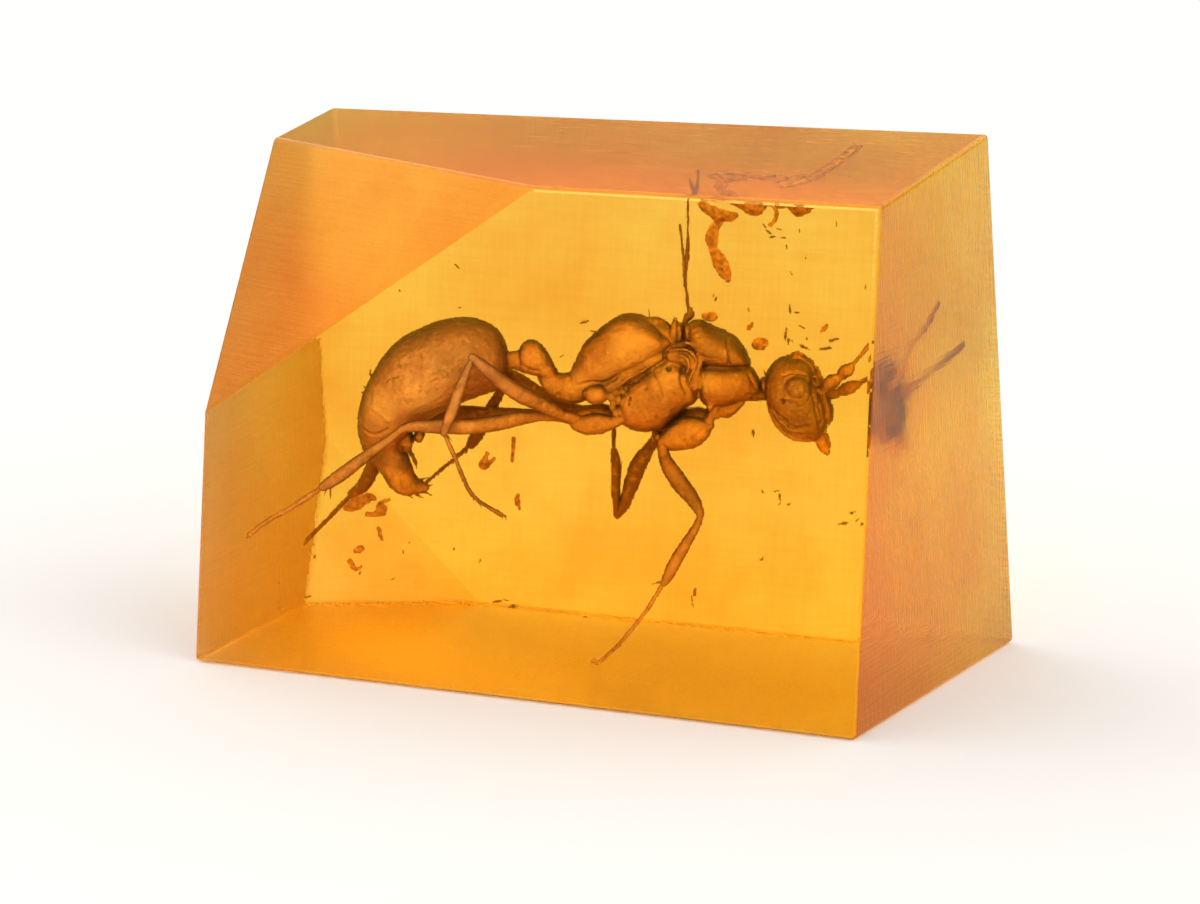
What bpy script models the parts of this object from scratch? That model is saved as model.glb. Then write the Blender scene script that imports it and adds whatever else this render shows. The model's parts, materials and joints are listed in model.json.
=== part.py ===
"""An ant in amber: a small cut block of fossil resin with one whole wingless ant and its debris.

The resin is one piece in life. It is parted along the ant's upright middle plane into a front
and a back half, so that the ant and each piece of debris lie in a pocket of their own.
"""

import math

import bmesh
import bpy
from mathutils import Matrix, Vector

MM = 0.001

# The block, in mm from its front left foot: x to the right, y to the back, z up.
FRONT_LENGTH = 14.0  # the front edge that rests on the ground
CORNERS = {
    "front left foot": (0.0, 0.0, 0.0),
    "front right foot": (FRONT_LENGTH, 0.0, 0.0),
    "back right foot": (15.70, 6.45, 0.0),
    "front right top": (13.72, 2.16, 10.16),
    "back right top": (14.82, 6.54, 10.72),
    "back left top": (0.80, 6.07, 10.38),
    "cut, left end": (0.31, 4.06, 10.12),
    "cut, right end": (6.65, 2.13, 10.01),
    "cut, low end": (-0.10, 1.07, 5.02),
    "chip, left foot": (1.26, 4.66, 0.0),
    "chip, back foot": (4.80, 6.09, 0.0),
    "chip, top": (1.30, 5.99, 3.30),
}
# Each face is a plane through three corners.
FACES = {
    "base": ("front left foot", "front right foot", "back right foot"),
    "front": ("front left foot", "front right foot", "front right top"),
    "right": ("front right foot", "back right foot", "front right top"),
    "top": ("front right top", "back right top", "cut, right end"),
    "left": ("front left foot", "cut, low end", "cut, left end"),
    "upper left cut": ("cut, left end", "cut, right end", "cut, low end"),
    "back": ("back right foot", "back right top", "back left top"),
    "lower left chip": ("chip, left foot", "chip, back foot", "chip, top"),
}
EDGE_BEVEL = 0.09
# The front left foot, seen from the part's origin under the middle of the block.
FRONT_LEFT_FOOT = Vector((-7.80, -3.28, 0.0))

# The ant's middle plane stands upright. It is also the plane that parts the resin.
ANT_WAIST = Vector((5.0, 3.3, 0.0))  # in mm from the front left foot
ANT_YAW = math.radians(8.5)
PARTING_GAP = 0.20
POCKET_CLEARANCE = 0.22
JOINT_BEND = math.radians(50)  # a limb that bends more than this at a point is jointed there
LONG_CUT = 60.0  # longer than the block in every direction

# The ant's trunk, as rings from tail to head. A ring is its upper and lower point in the middle
# plane (along, up), its half width across the plane, all in mm.
GASTER = (
    ((0.93, 6.27), (0.94, 5.89), 0.18),
    ((0.83, 6.52), (0.84, 5.64), 0.42),
    ((0.66, 6.73), (0.71, 5.45), 0.60),
    ((0.34, 6.87), (0.43, 5.33), 0.74),
    ((-0.04, 6.91), (0.07, 5.18), 0.83),
    ((-0.60, 6.78), (-0.36, 4.96), 0.89),
    ((-1.24, 6.46), (-0.81, 4.68), 0.88),
    ((-1.60, 6.13), (-1.02, 4.50), 0.82),
    ((-1.92, 5.63), (-1.14, 4.36), 0.74),
    ((-2.14, 5.12), (-1.22, 4.27), 0.64),
    ((-2.22, 4.63), (-1.26, 4.19), 0.54),
    ((-2.18, 4.25), (-1.27, 4.12), 0.45),
    ((-2.00, 3.88), (-1.22, 4.05), 0.37),
    ((-1.72, 3.55), (-1.13, 3.96), 0.31),
    ((-1.50, 3.24), (-1.03, 3.66), 0.26),
    ((-1.20, 3.10), (-0.92, 3.50), 0.20),
    ((-0.78, 3.16), (-0.70, 3.36), 0.10),
)
WAIST_NODE = (
    ((0.86, 6.24), (0.88, 5.93), 0.14),
    ((1.15, 6.29), (1.17, 5.86), 0.18),
    ((1.22, 6.43), (1.27, 5.82), 0.27),
    ((1.37, 6.52), (1.40, 5.80), 0.33),
    ((1.53, 6.50), (1.55, 5.77), 0.34),
    ((1.68, 6.38), (1.63, 5.75), 0.31),
    ((1.82, 6.18), (1.74, 5.68), 0.26),
    ((1.96, 5.94), (1.88, 5.60), 0.20),
)
WAIST_STALK = (
    ((1.60, 5.80), (1.63, 5.62), 0.13),
    ((1.67, 5.84), (1.73, 5.49), 0.24),
    ((1.84, 5.87), (1.88, 5.33), 0.28),
    ((2.10, 5.86), (2.14, 5.25), 0.30),
    ((2.32, 5.90), (2.38, 5.25), 0.33),
    ((2.56, 5.84), (2.60, 5.34), 0.34),
)
HUMP = (
    ((2.24, 5.93), (2.40, 5.33), 0.32),
    ((2.39, 6.25), (2.66, 5.50), 0.42),
    ((2.52, 6.52), (2.93, 5.64), 0.50),
    ((2.73, 6.74), (3.13, 5.75), 0.56),
    ((2.96, 6.94), (3.38, 5.91), 0.60),
    ((3.20, 7.10), (3.62, 6.03), 0.62),
    ((3.45, 7.17), (3.84, 6.16), 0.60),
    ((3.69, 7.12), (4.01, 6.28), 0.55),
    ((3.94, 7.01), (4.15, 6.39), 0.44),
    ((4.16, 6.82), (4.27, 6.50), 0.26),
)
BACK_PLATE = (
    ((3.55, 6.95), (3.50, 5.80), 0.34),
    ((3.80, 7.11), (3.76, 5.70), 0.48),
    ((4.05, 7.12), (4.02, 5.70), 0.52),
    ((4.24, 7.02), (4.24, 5.75), 0.50),
    ((4.38, 6.82), (4.40, 5.80), 0.46),
    ((4.62, 6.70), (4.64, 5.80), 0.44),
    ((4.86, 6.70), (4.88, 5.80), 0.44),
)
PRONOTUM = (
    ((4.64, 7.00), (4.72, 6.50), 0.30),
    ((4.72, 7.08), (4.82, 6.26), 0.46),
    ((4.87, 7.11), (4.93, 6.12), 0.55),
    ((5.05, 7.04), (5.10, 6.08), 0.60),
    ((5.26, 6.95), (5.28, 6.08), 0.60),
    ((5.46, 6.87), (5.48, 6.08), 0.57),
    ((5.65, 6.75), (5.68, 6.10), 0.49),
    ((5.80, 6.53), (5.82, 6.14), 0.36),
    ((5.88, 6.27), (5.88, 6.17), 0.18),
)
NECK_SHIELD = (
    ((4.93, 6.04), (4.93, 5.53), 0.40),
    ((5.01, 6.17), (5.03, 5.39), 0.54),
    ((5.24, 6.19), (5.26, 5.34), 0.60),
    ((5.50, 6.18), (5.53, 5.40), 0.57),
    ((5.73, 6.17), (5.75, 5.49), 0.48),
    ((5.93, 6.13), (5.91, 5.51), 0.36),
    ((6.09, 6.00), (6.06, 5.52), 0.25),
    ((6.20, 5.83), (6.19, 5.52), 0.17),
    ((6.40, 5.80), (6.40, 5.53), 0.14),
)
SIDE_PLATE = (
    ((3.17, 5.40), (3.20, 5.04), 0.30),
    ((3.33, 5.70), (3.43, 4.83), 0.52),
    ((3.56, 5.88), (3.69, 4.76), 0.64),
    ((3.81, 6.05), (3.95, 4.77), 0.70),
    ((4.03, 6.21), (4.20, 4.87), 0.72),
    ((4.25, 6.31), (4.42, 5.08), 0.71),
    ((4.49, 6.28), (4.64, 5.29), 0.66),
    ((4.70, 6.11), (4.81, 5.40), 0.56),
    ((4.85, 5.84), (4.90, 5.52), 0.38),
)
THROAT_LOBE = (
    ((5.20, 5.46), (5.24, 5.24), 0.20),
    ((5.38, 5.52), (5.41, 5.14), 0.30),
    ((5.58, 5.55), (5.61, 5.17), 0.28),
    ((5.80, 5.60), (5.80, 5.38), 0.18),
)
HEAD = (
    ((6.25, 6.00), (6.27, 5.66), 0.32),
    ((6.32, 6.19), (6.32, 5.43), 0.52),
    ((6.44, 6.34), (6.44, 5.17), 0.67),
    ((6.63, 6.44), (6.60, 4.94), 0.79),
    ((6.86, 6.48), (6.80, 4.80), 0.86),
    ((7.02, 6.46), (7.00, 4.74), 0.87),
    ((7.14, 6.38), (7.18, 4.74), 0.83),
    ((7.27, 6.11), (7.35, 4.79), 0.73),
    ((7.37, 5.90), (7.47, 4.93), 0.59),
    ((7.45, 5.68), (7.54, 5.12), 0.42),
)
MIDLINE_RINGS = {
    "gaster": GASTER,
    "waist_node": WAIST_NODE,
    "waist_stalk": WAIST_STALK,
    "hump": HUMP,
    "back_plate": BACK_PLATE,
    "pronotum": PRONOTUM,
    "neck_shield": NECK_SHIELD,
    "side_plate": SIDE_PLATE,
    "throat_lobe": THROAT_LOBE,
    "head": HEAD,
}

# Paired pieces: their rings, and how far each one of the pair stands off the middle plane.
HIND_COXA = (
    ((2.33, 5.00), (2.31, 4.82), 0.09),
    ((2.42, 5.06), (2.40, 4.77), 0.15),
    ((2.63, 5.13), (2.64, 4.70), 0.20),
    ((2.90, 5.17), (2.92, 4.74), 0.21),
    ((3.12, 5.13), (3.14, 4.83), 0.18),
    ((3.36, 5.16), (3.36, 4.95), 0.12),
)
FRONT_COXA = (
    ((4.14, 4.75), (4.17, 4.52), 0.10),
    ((4.33, 4.97), (4.37, 4.47), 0.19),
    ((4.57, 5.16), (4.67, 4.50), 0.25),
    ((4.82, 5.20), (4.96, 4.60), 0.25),
    ((5.05, 5.18), (5.13, 4.77), 0.20),
    ((5.20, 5.10), (5.22, 4.96), 0.12),
)
JAW = (
    ((7.10, 5.06), (7.22, 4.80), 0.13),
    ((7.29, 5.07), (7.40, 4.60), 0.14),
    ((7.53, 4.92), (7.50, 4.49), 0.10),
    ((7.63, 4.66), (7.58, 4.46), 0.05),
)
EYE = (
    ((6.72, 5.80), (6.72, 5.56), 0.10),
    ((6.78, 5.92), (6.78, 5.44), 0.20),
    ((6.92, 6.00), (6.92, 5.36), 0.26),
    ((7.06, 5.92), (7.06, 5.44), 0.20),
    ((7.12, 5.80), (7.12, 5.56), 0.10),
)
HIP_KNOB = (
    ((2.56, 5.54), (2.57, 5.42), 0.10),
    ((2.66, 5.66), (2.66, 5.32), 0.19),
    ((2.82, 5.70), (2.82, 5.27), 0.23),
    ((3.00, 5.66), (3.00, 5.32), 0.19),
    ((3.20, 5.56), (3.20, 5.36), 0.12),
)
PAIRED_RINGS = {
    "hind_coxa": (HIND_COXA, 0.36),
    "front_coxa": (FRONT_COXA, 0.34),
    "jaw": (JAW, 0.22),
    "eye": (EYE, 0.66),
    "hip_knob": (HIP_KNOB, 0.34),
}

# Legs and antennae, as (along, aside, up, radius) from the body outwards, in mm. Aside is
# negative on the ant's right, which faces the front of the block.
LIMBS = {
    "middle_leg_right": (
        (2.52, -0.36, 4.96, 0.12),
        (2.20, -0.42, 5.06, 0.12),
        (1.26, -0.85, 5.61, 0.17),
        (0.85, -1.02, 5.92, 0.16),
        (0.26, -1.20, 6.38, 0.09),
        (0.06, -1.20, 5.82, 0.10),
        (-0.12, -1.20, 5.29, 0.13),
        (-0.28, -1.20, 4.78, 0.05),
        (0.10, -1.10, 3.91, 0.05),
        (0.46, -1.05, 3.37, 0.05),
        (1.05, -1.00, 3.05, 0.04),
    ),
    "hind_leg_right": (
        (2.50, -0.30, 4.93, 0.10),
        (1.98, -0.30, 4.99, 0.08),
        (1.65, -0.34, 5.02, 0.09),
        (1.22, -0.45, 4.99, 0.15),
        (0.22, -0.72, 4.84, 0.17),
        (-0.92, -0.93, 4.83, 0.13),
        (-1.17, -0.97, 4.77, 0.11),
        (-1.95, -0.92, 4.14, 0.12),
        (-2.39, -0.88, 3.76, 0.14),
        (-2.71, -0.85, 3.52, 0.12),
        (-2.91, -0.83, 3.37, 0.07),
        (-3.57, -0.78, 2.89, 0.05),
        (-4.46, -0.70, 2.26, 0.05),
    ),
    "middle_leg_left": (
        (2.52, 0.36, 4.98, 0.12),
        (2.14, 0.42, 5.04, 0.11),
        (1.26, 0.62, 5.42, 0.13),
        (0.87, 0.72, 5.63, 0.10),
        (0.73, 0.74, 5.19, 0.11),
        (0.28, 0.78, 4.30, 0.14),
        (0.13, 0.78, 4.02, 0.08),
        (-0.20, 0.78, 3.72, 0.05),
        (-0.78, 0.75, 3.20, 0.04),
    ),
    "hind_leg_left": (
        (2.50, 0.30, 4.92, 0.10),
        (2.02, 0.40, 4.89, 0.10),
        (0.75, 0.60, 4.74, 0.15),
        (-1.18, 0.85, 4.46, 0.13),
        (-1.65, 0.88, 4.17, 0.11),
        (-1.90, 0.85, 3.67, 0.14),
        (-2.00, 0.80, 3.31, 0.16),
        (-2.40, 0.76, 2.83, 0.08),
        (-2.63, 0.75, 2.57, 0.06),
        (-3.34, 0.72, 1.80, 0.04),
    ),
    "front_leg_left": (
        (4.26, 0.32, 4.64, 0.11),
        (3.96, 0.33, 4.40, 0.13),
        (3.72, 0.36, 3.99, 0.17),
        (3.42, 0.46, 3.07, 0.14),
        (3.30, 0.50, 2.80, 0.09),
        (3.21, 0.58, 3.31, 0.11),
        (3.21, 0.60, 3.82, 0.11),
        (3.16, 0.62, 4.07, 0.06),
        (3.16, 0.62, 4.68, 0.05),
    ),
    "front_leg_right": (
        (4.22, -0.38, 4.50, 0.11),
        (4.34, -0.55, 4.22, 0.17),
        (4.61, -0.78, 3.92, 0.18),
        (4.87, -0.98, 3.68, 0.15),
        (5.06, -1.15, 3.40, 0.08),
        (4.99, -1.20, 3.16, 0.09),
        (4.58, -1.40, 2.45, 0.13),
        (4.41, -1.50, 2.09, 0.08),
        (4.29, -1.52, 1.90, 0.05),
        (3.90, -1.60, 1.26, 0.05),
        (3.23, -1.72, 0.48, 0.04),
        (3.04, -1.75, 0.36, 0.04),
    ),
    "antenna_right": (
        (7.28, -0.36, 5.86, 0.10),
        (7.42, -0.40, 5.90, 0.08),
        (7.58, -0.43, 6.07, 0.15),
        (7.72, -0.45, 6.20, 0.10),
        (7.88, -0.47, 6.34, 0.12),
        (7.99, -0.48, 6.45, 0.06),
        (8.33, -0.49, 6.89, 0.06),
        (8.79, -0.40, 7.20, 0.07),
        (9.05, -0.31, 7.45, 0.08),
        (9.27, -0.23, 7.70, 0.07),
    ),
    "antenna_left": (
        (7.26, 0.02, 5.72, 0.10),
        (7.49, 0.04, 5.68, 0.09),
        (7.73, 0.06, 5.72, 0.08),
        (7.97, 0.02, 5.86, 0.12),
        (8.14, 0.08, 5.95, 0.08),
        (8.31, 0.17, 6.03, 0.06),
        (8.85, 0.35, 6.25, 0.07),
        (9.23, 0.54, 6.40, 0.08),
        (9.64, 0.72, 6.60, 0.08),
    ),
    "coxa_link_right": (
        (5.06, -0.30, 5.60, 0.16),
        (5.02, -0.34, 5.05, 0.14),
    ),
    "coxa_link_left": (
        (5.06, 0.30, 5.60, 0.16),
        (5.02, 0.34, 5.05, 0.14),
    ),
    "hip_link_right": (
        (3.00, -0.34, 5.45, 0.12),
        (3.04, -0.36, 5.00, 0.12),
    ),
    "hip_link_left": (
        (3.00, 0.34, 5.45, 0.12),
        (3.04, 0.36, 5.00, 0.12),
    ),
    "raised_shin": (
        (4.68, 0.06, 6.40, 0.12),
        (4.55, 0.20, 6.83, 0.11),
        (4.59, 0.25, 7.07, 0.11),
        (4.61, 0.30, 7.22, 0.09),
        (4.55, 0.30, 7.43, 0.04),
        (4.57, 0.30, 8.35, 0.06),
        (4.57, 0.30, 8.87, 0.04),
        (4.55, 0.30, 9.48, 0.04),
    ),
    "raised_bristle": (
        (4.54, 0.30, 7.76, 0.04),
        (4.49, 0.27, 8.36, 0.04),
        (4.42, 0.25, 8.95, 0.04),
    ),
    "tail_spine": (
        (-1.32, 0.00, 4.25, 0.05),
        (-1.12, -0.02, 4.08, 0.05),
        (-0.96, -0.05, 3.80, 0.04),
    ),
}

# Debris: each piece is one or more blades. A blade is a run of (along, aside, up, half breadth
# in the middle plane) and a half thickness across it, in mm.
DEBRIS = {
    "hanging_flake": (
        (0.07, ((4.80, 0, 9.50, 0.05), (4.95, 0, 9.40, 0.11), (5.18, 0, 9.29, 0.13),
                (5.42, 0, 9.26, 0.12), (5.57, 0, 9.31, 0.05))),
        (0.07, ((5.27, 0, 9.20, 0.07), (5.12, 0, 8.99, 0.11), (5.06, 0, 8.80, 0.13),
                (5.12, 0, 8.56, 0.10), (5.24, 0, 8.34, 0.16), (5.36, 0, 8.12, 0.14),
                (5.44, 0, 7.95, 0.05))),
    ),
    "torn_crumb": (
        (0.08, ((4.98, 0, 9.62, 0.03), (5.35, 0, 9.60, 0.05), (5.62, 0, 9.53, 0.11),
                (5.92, 0, 9.45, 0.17), (6.12, 0, 9.52, 0.06))),
    ),
    "hooked_thread": (
        (0.04, ((6.22, 0, 9.54, 0.04), (6.34, 0, 9.45, 0.04), (6.36, 0, 9.31, 0.05),
                (6.31, 0, 9.19, 0.04), (6.25, 0, 9.12, 0.05))),
    ),
    "wedge_crumb": (
        (0.09, ((6.58, 0, 9.55, 0.03), (6.78, 0, 9.46, 0.14), (6.93, 0, 9.48, 0.11),
                (7.11, 0, 9.55, 0.03))),
    ),
    "twig": (
        (0.12, ((6.43, -0.80, 9.74, 0.10), (6.64, -0.69, 9.79, 0.11), (6.91, -0.45, 9.88, 0.12),
                (7.16, 0.06, 9.98, 0.13), (7.38, 0.64, 10.05, 0.13), (7.54, 1.12, 10.10, 0.15),
                (7.60, 1.38, 10.14, 0.12))),
    ),
    "pebble_left": (
        (0.10, ((4.92, 0, 7.20, 0.05), (5.02, 0, 7.18, 0.09), (5.15, 0, 7.20, 0.10),
                (5.23, 0, 7.20, 0.06))),
    ),
    "pebble_right": (
        (0.12, ((5.99, 0, 6.64, 0.06), (6.07, 0, 6.68, 0.12), (6.18, 0, 6.70, 0.13),
                (6.25, 0, 6.73, 0.07))),
    ),
    "tail_grain": (
        (0.11, ((-2.46, 0, 2.74, 0.05), (-2.32, 0, 2.80, 0.13), (-2.10, 0, 2.93, 0.13),
                (-1.93, 0, 3.00, 0.09), (-1.84, 0, 2.99, 0.05))),
    ),
    "tail_flake": (
        (0.07, ((-2.02, 0, 2.63, 0.04), (-1.84, 0, 2.65, 0.07), (-1.70, 0, 2.72, 0.12),
                (-1.62, 0, 2.82, 0.07))),
        (0.05, ((-1.76, 0, 2.80, 0.05), (-1.72, 0, 2.90, 0.04), (-1.52, 0, 2.98, 0.04))),
    ),
    "low_sliver": (
        (0.04, ((-1.75, 0, 2.37, 0.04), (-1.71, 0, 2.22, 0.05), (-1.66, 0, 2.10, 0.03))),
    ),
    "low_grain": (
        (0.08, ((-2.24, 0, 1.82, 0.05), (-2.17, 0, 1.86, 0.08), (-2.10, 0, 1.90, 0.06))),
    ),
    "low_hook": (
        (0.05, ((-2.36, 0, 1.61, 0.06), (-2.28, 0, 1.49, 0.06), (-2.21, 0, 1.42, 0.04),
                (-2.10, 0, 1.52, 0.03))),
    ),
    "forked_flake": (
        (0.06, ((0.55, 0, 4.09, 0.05), (0.49, 0, 3.95, 0.07), (0.45, 0, 3.81, 0.09),
                (0.55, 0, 3.84, 0.06), (0.70, 0, 3.99, 0.03))),
    ),
    "upright_sliver": (
        (0.05, ((1.09, 0, 4.44, 0.05), (1.08, 0, 4.18, 0.04), (1.07, 0, 3.94, 0.03))),
    ),
    "middle_flake": (
        (0.05, ((1.21, 0, 3.27, 0.03), (1.19, 0, 3.12, 0.06), (1.25, 0, 2.94, 0.03))),
    ),
    "back_chip": (
        (0.05, ((5.95, 0, 7.10, 0.04), (5.91, 0, 7.03, 0.05), (5.87, 0, 6.97, 0.03))),
    ),
    "head_chip": (
        (0.05, ((7.46, 0, 7.14, 0.04), (7.41, 0, 7.07, 0.05), (7.35, 0, 7.00, 0.03))),
    ),
}

# Crevices under the trunk that are too thin for the resin to reach into, open to the pocket.
CREVICES = {
    "over_front_coxae": ((4.62, 0.0, 5.20, 0.34), (5.04, 0.0, 5.26, 0.34)),
    "between_hips": ((2.70, 0.0, 5.18, 0.24), (3.08, 0.0, 5.20, 0.24)),
}

# Sides of a ring on the solids, and on the simpler pockets around them.
TRUNK_SIDES, LIMB_SIDES, BLADE_SIDES = 10, 5, 4
POCKET_TRUNK_SIDES, POCKET_LIMB_SIDES = 7, 4
END_CAP = 0.45  # how far a ring's closing point stands out, in ring radii

AMBER_COLOR = (0.90, 0.40, 0.04)
ANT_COLOR = (0.30, 0.09, 0.02)
DEBRIS_COLOR = (0.33, 0.08, 0.015)


def clear_scene():
    for obj in list(bpy.data.objects):
        bpy.data.objects.remove(obj, do_unlink=True)


def finish(name, color, roughness, alpha=1.0):
    """A Principled material of one colour."""
    material = bpy.data.materials.new(name)
    material.use_nodes = True
    shader = material.node_tree.nodes["Principled BSDF"]
    shader.inputs["Base Color"].default_value = (*color, 1.0)
    shader.inputs["Roughness"].default_value = roughness
    shader.inputs["Metallic"].default_value = 0.0
    shader.inputs["Alpha"].default_value = alpha
    material.diffuse_color = (*color, alpha)
    return material


def from_foot(x, y, z):
    """A point in mm from the front left foot, in metres from the part's origin."""
    return (FRONT_LEFT_FOOT + Vector((x, y, z))) * MM


def from_ant(along, aside, up):
    """A point in mm in the ant's own directions, in metres from the part's origin."""
    flat = Matrix.Rotation(ANT_YAW, 3, "Z") @ Vector((along, aside, 0.0))
    return from_foot(*(ANT_WAIST + flat + Vector((0.0, 0.0, up))))


def new_object(name, mesh_edit, collection=None):
    """An object whose mesh is whatever mesh_edit leaves in a new bmesh."""
    mesh = bpy.data.meshes.new(name)
    edit = bmesh.new()
    mesh_edit(edit)
    bmesh.ops.recalc_face_normals(edit, faces=edit.faces)
    edit.to_mesh(mesh)
    edit.free()
    obj = bpy.data.objects.new(name, mesh)
    (collection or bpy.context.scene.collection).objects.link(obj)
    return obj


def tool_collection(name):
    collection = bpy.data.collections.new(name)
    bpy.context.scene.collection.children.link(collection)
    return collection


def as_tool(obj):
    obj.hide_render = True
    obj.display_type = "WIRE"


def bridge_rings(edit, rings, first_tip, last_tip):
    """A closed skin over rings of points, with one point closing each end."""
    loops = [[edit.verts.new(point) for point in ring] for ring in rings]
    sides = len(loops[0])
    for near, far in zip(loops, loops[1:]):
        for k in range(sides):
            n = (k + 1) % sides
            edit.faces.new((near[k], near[n], far[n], far[k]))
    for loop, tip in ((loops[0], first_tip), (loops[-1], last_tip)):
        point = edit.verts.new(tip)
        for k in range(sides):
            edit.faces.new((loop[k], loop[(k + 1) % sides], point))


def ringed(rings, offset, sides, clearance):
    """A body piece from its rings, standing off the middle plane by offset."""

    def build(edit):
        loops, centres, halves = [], [], []
        for (top_along, top_up), (low_along, low_up), half_width in rings:
            centre = Vector(((top_along + low_along) / 2, offset, (top_up + low_up) / 2))
            half = Vector((top_along - low_along, 0.0, top_up - low_up)) / 2
            half *= 1 + clearance / half.length
            across = Vector((0.0, half_width + clearance, 0.0))
            turns = [math.tau * k / sides for k in range(sides)]
            points = [centre + half * math.cos(t) + across * math.sin(t) for t in turns]
            loops.append([from_ant(*point) for point in points])
            centres.append(centre)
            halves.append(half.length)
        tips = []
        for end, inward in ((0, 1), (-1, -2)):
            outward = (centres[end] - centres[inward]).normalized()
            reach = END_CAP * halves[end] + clearance
            tips.append(from_ant(*(centres[end] + outward * reach)))
        bridge_rings(edit, loops, *tips)

    return build


def blade(points, half_thickness, sides, clearance):
    """A tube along (along, aside, up, radius) points, flattened across the middle plane."""

    def build(edit):
        places = [Vector(point[:3]) for point in points]
        reach = [point[3] + clearance for point in points]
        runs = [(b - a).normalized() for a, b in zip(places, places[1:])]
        loops = []
        for i, place in enumerate(places):
            run = (runs[max(i - 1, 0)] + runs[min(i, len(runs) - 1)]).normalized()
            wide = run.cross(Vector((0.0, 1.0, 0.0))).normalized()
            thick = wide.cross(run).normalized()
            depth = reach[i] if half_thickness is None else half_thickness + clearance
            turns = [math.tau * k / sides for k in range(sides)]
            loops.append([
                from_ant(*(place + wide * reach[i] * math.cos(t) + thick * depth * math.sin(t)))
                for t in turns
            ])
        first = places[0] - runs[0] * (END_CAP * points[0][3] + clearance)
        last = places[-1] + runs[-1] * (END_CAP * points[-1][3] + clearance)
        bridge_rings(edit, loops, from_ant(*first), from_ant(*last))

    return build


def stretches(points):
    """A limb's points, parted at its sharp joints. Both stretches keep the joint's point."""
    places = [Vector(point[:3]) for point in points]
    joints = [
        i
        for i in range(1, len(points) - 1)
        if (places[i] - places[i - 1]).angle(places[i + 1] - places[i]) > JOINT_BEND
    ]
    ends = [0, *joints, len(points) - 1]
    return [points[a : b + 1] for a, b in zip(ends, ends[1:])]


def every_second(rings):
    """Half of the rings, with both ends kept."""
    return (*rings[:-1:2], rings[-1])


def ant_pieces(trunk_sides, limb_sides, clearance):
    """Every closed piece of the ant, as a name and a mesh edit. A pocket has fewer rings."""
    pieces = []
    for name, rings in MIDLINE_RINGS.items():
        kept = every_second(rings) if clearance else rings
        pieces.append((name, ringed(kept, 0.0, trunk_sides, clearance)))
    for name, (rings, offset) in PAIRED_RINGS.items():
        kept = every_second(rings) if clearance else rings
        for side, sign in (("right", -1), ("left", 1)):
            edit = ringed(kept, sign * offset, limb_sides + 1, clearance)
            pieces.append((f"{name}_{side}", edit))
    for name, points in LIMBS.items():
        for i, stretch in enumerate(stretches(points)):
            pieces.append((f"{name}_{i}", blade(stretch, None, limb_sides, clearance)))
    return pieces


def debris_pieces(name, sides, clearance):
    """Every closed blade of one piece of debris, as a name and a mesh edit."""
    return [
        (f"{name}_{i}", blade(points, half_thickness, sides, clearance))
        for i, (half_thickness, points) in enumerate(DEBRIS[name])
    ]


def fused(name, pieces, material):
    """One solid from overlapping pieces: the first piece with the others joined to it."""
    (_, first), *others = pieces
    obj = new_object(name, first)
    if others:
        tools = tool_collection(f"{name} parts")
        for other_name, edit in others:
            as_tool(new_object(f"{name} {other_name}", edit, tools))
        join = obj.modifiers.new("join", "BOOLEAN")
        join.operation = "UNION"
        join.operand_type = "COLLECTION"
        join.collection = tools
        join.solver = "EXACT"
        join.use_self = True
    obj.data.shade_smooth()
    obj.data.materials.append(material)
    return obj


def face_plane(face):
    """The plane of a block face, as a point and the direction that leaves the block."""
    a, b, c = (from_foot(*CORNERS[corner]) for corner in FACES[face])
    middle = sum((from_foot(*corner) for corner in CORNERS.values()), Vector()) / len(CORNERS)
    outward = (b - a).cross(c - a).normalized()
    if outward.dot(middle - a) > 0:
        outward.negate()
    return a, outward


def cut_flat(edit, point, outward):
    """Everything beyond the plane goes, and the cut is closed with one face."""
    everything = list(edit.verts) + list(edit.edges) + list(edit.faces)
    found = bmesh.ops.bisect_plane(
        edit, geom=everything, dist=1e-9, plane_co=point, plane_no=outward, clear_outer=True
    )
    rim = [item for item in found["geom_cut"] if isinstance(item, bmesh.types.BMEdge)]
    bmesh.ops.holes_fill(edit, edges=rim, sides=0)


def block_half(side):
    """The bevelled block on one side of the parting plane: -1 for the front, 1 for the back."""

    def build(edit):
        bmesh.ops.create_cube(edit, size=LONG_CUT * MM)
        for face in FACES:
            cut_flat(edit, *face_plane(face))
        bmesh.ops.bevel(
            edit,
            geom=list(edit.edges),
            offset=EDGE_BEVEL * MM,
            offset_type="OFFSET",
            segments=1,
            profile=0.5,
            affect="EDGES",
        )
        outward = from_ant(0, -side, 0) - from_ant(0, 0, 0)
        cut_flat(edit, from_ant(0, side * PARTING_GAP / 2, 0), outward.normalized())

    return build


def pocketed(name, side, pockets, material):
    """Half of the block, with every pocket cut out of it."""
    obj = new_object(name, block_half(side))
    cut = obj.modifiers.new("pockets", "BOOLEAN")
    cut.operation = "DIFFERENCE"
    cut.operand_type = "COLLECTION"
    cut.collection = pockets
    cut.solver = "EXACT"
    cut.use_self = True
    obj.data.materials.append(material)
    return obj


def pocket_collection():
    """The ant and all debris once more, simpler and larger by the clearance."""
    pockets = tool_collection("pockets")
    pieces = ant_pieces(POCKET_TRUNK_SIDES, POCKET_LIMB_SIDES, POCKET_CLEARANCE)
    for name, points in CREVICES.items():
        pieces.append((name, blade(points, None, POCKET_TRUNK_SIDES, POCKET_CLEARANCE)))
    for name in DEBRIS:
        pieces += debris_pieces(name, POCKET_LIMB_SIDES, POCKET_CLEARANCE)
    for name, edit in pieces:
        as_tool(new_object(f"pocket {name}", edit, pockets))
    return pockets


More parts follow.
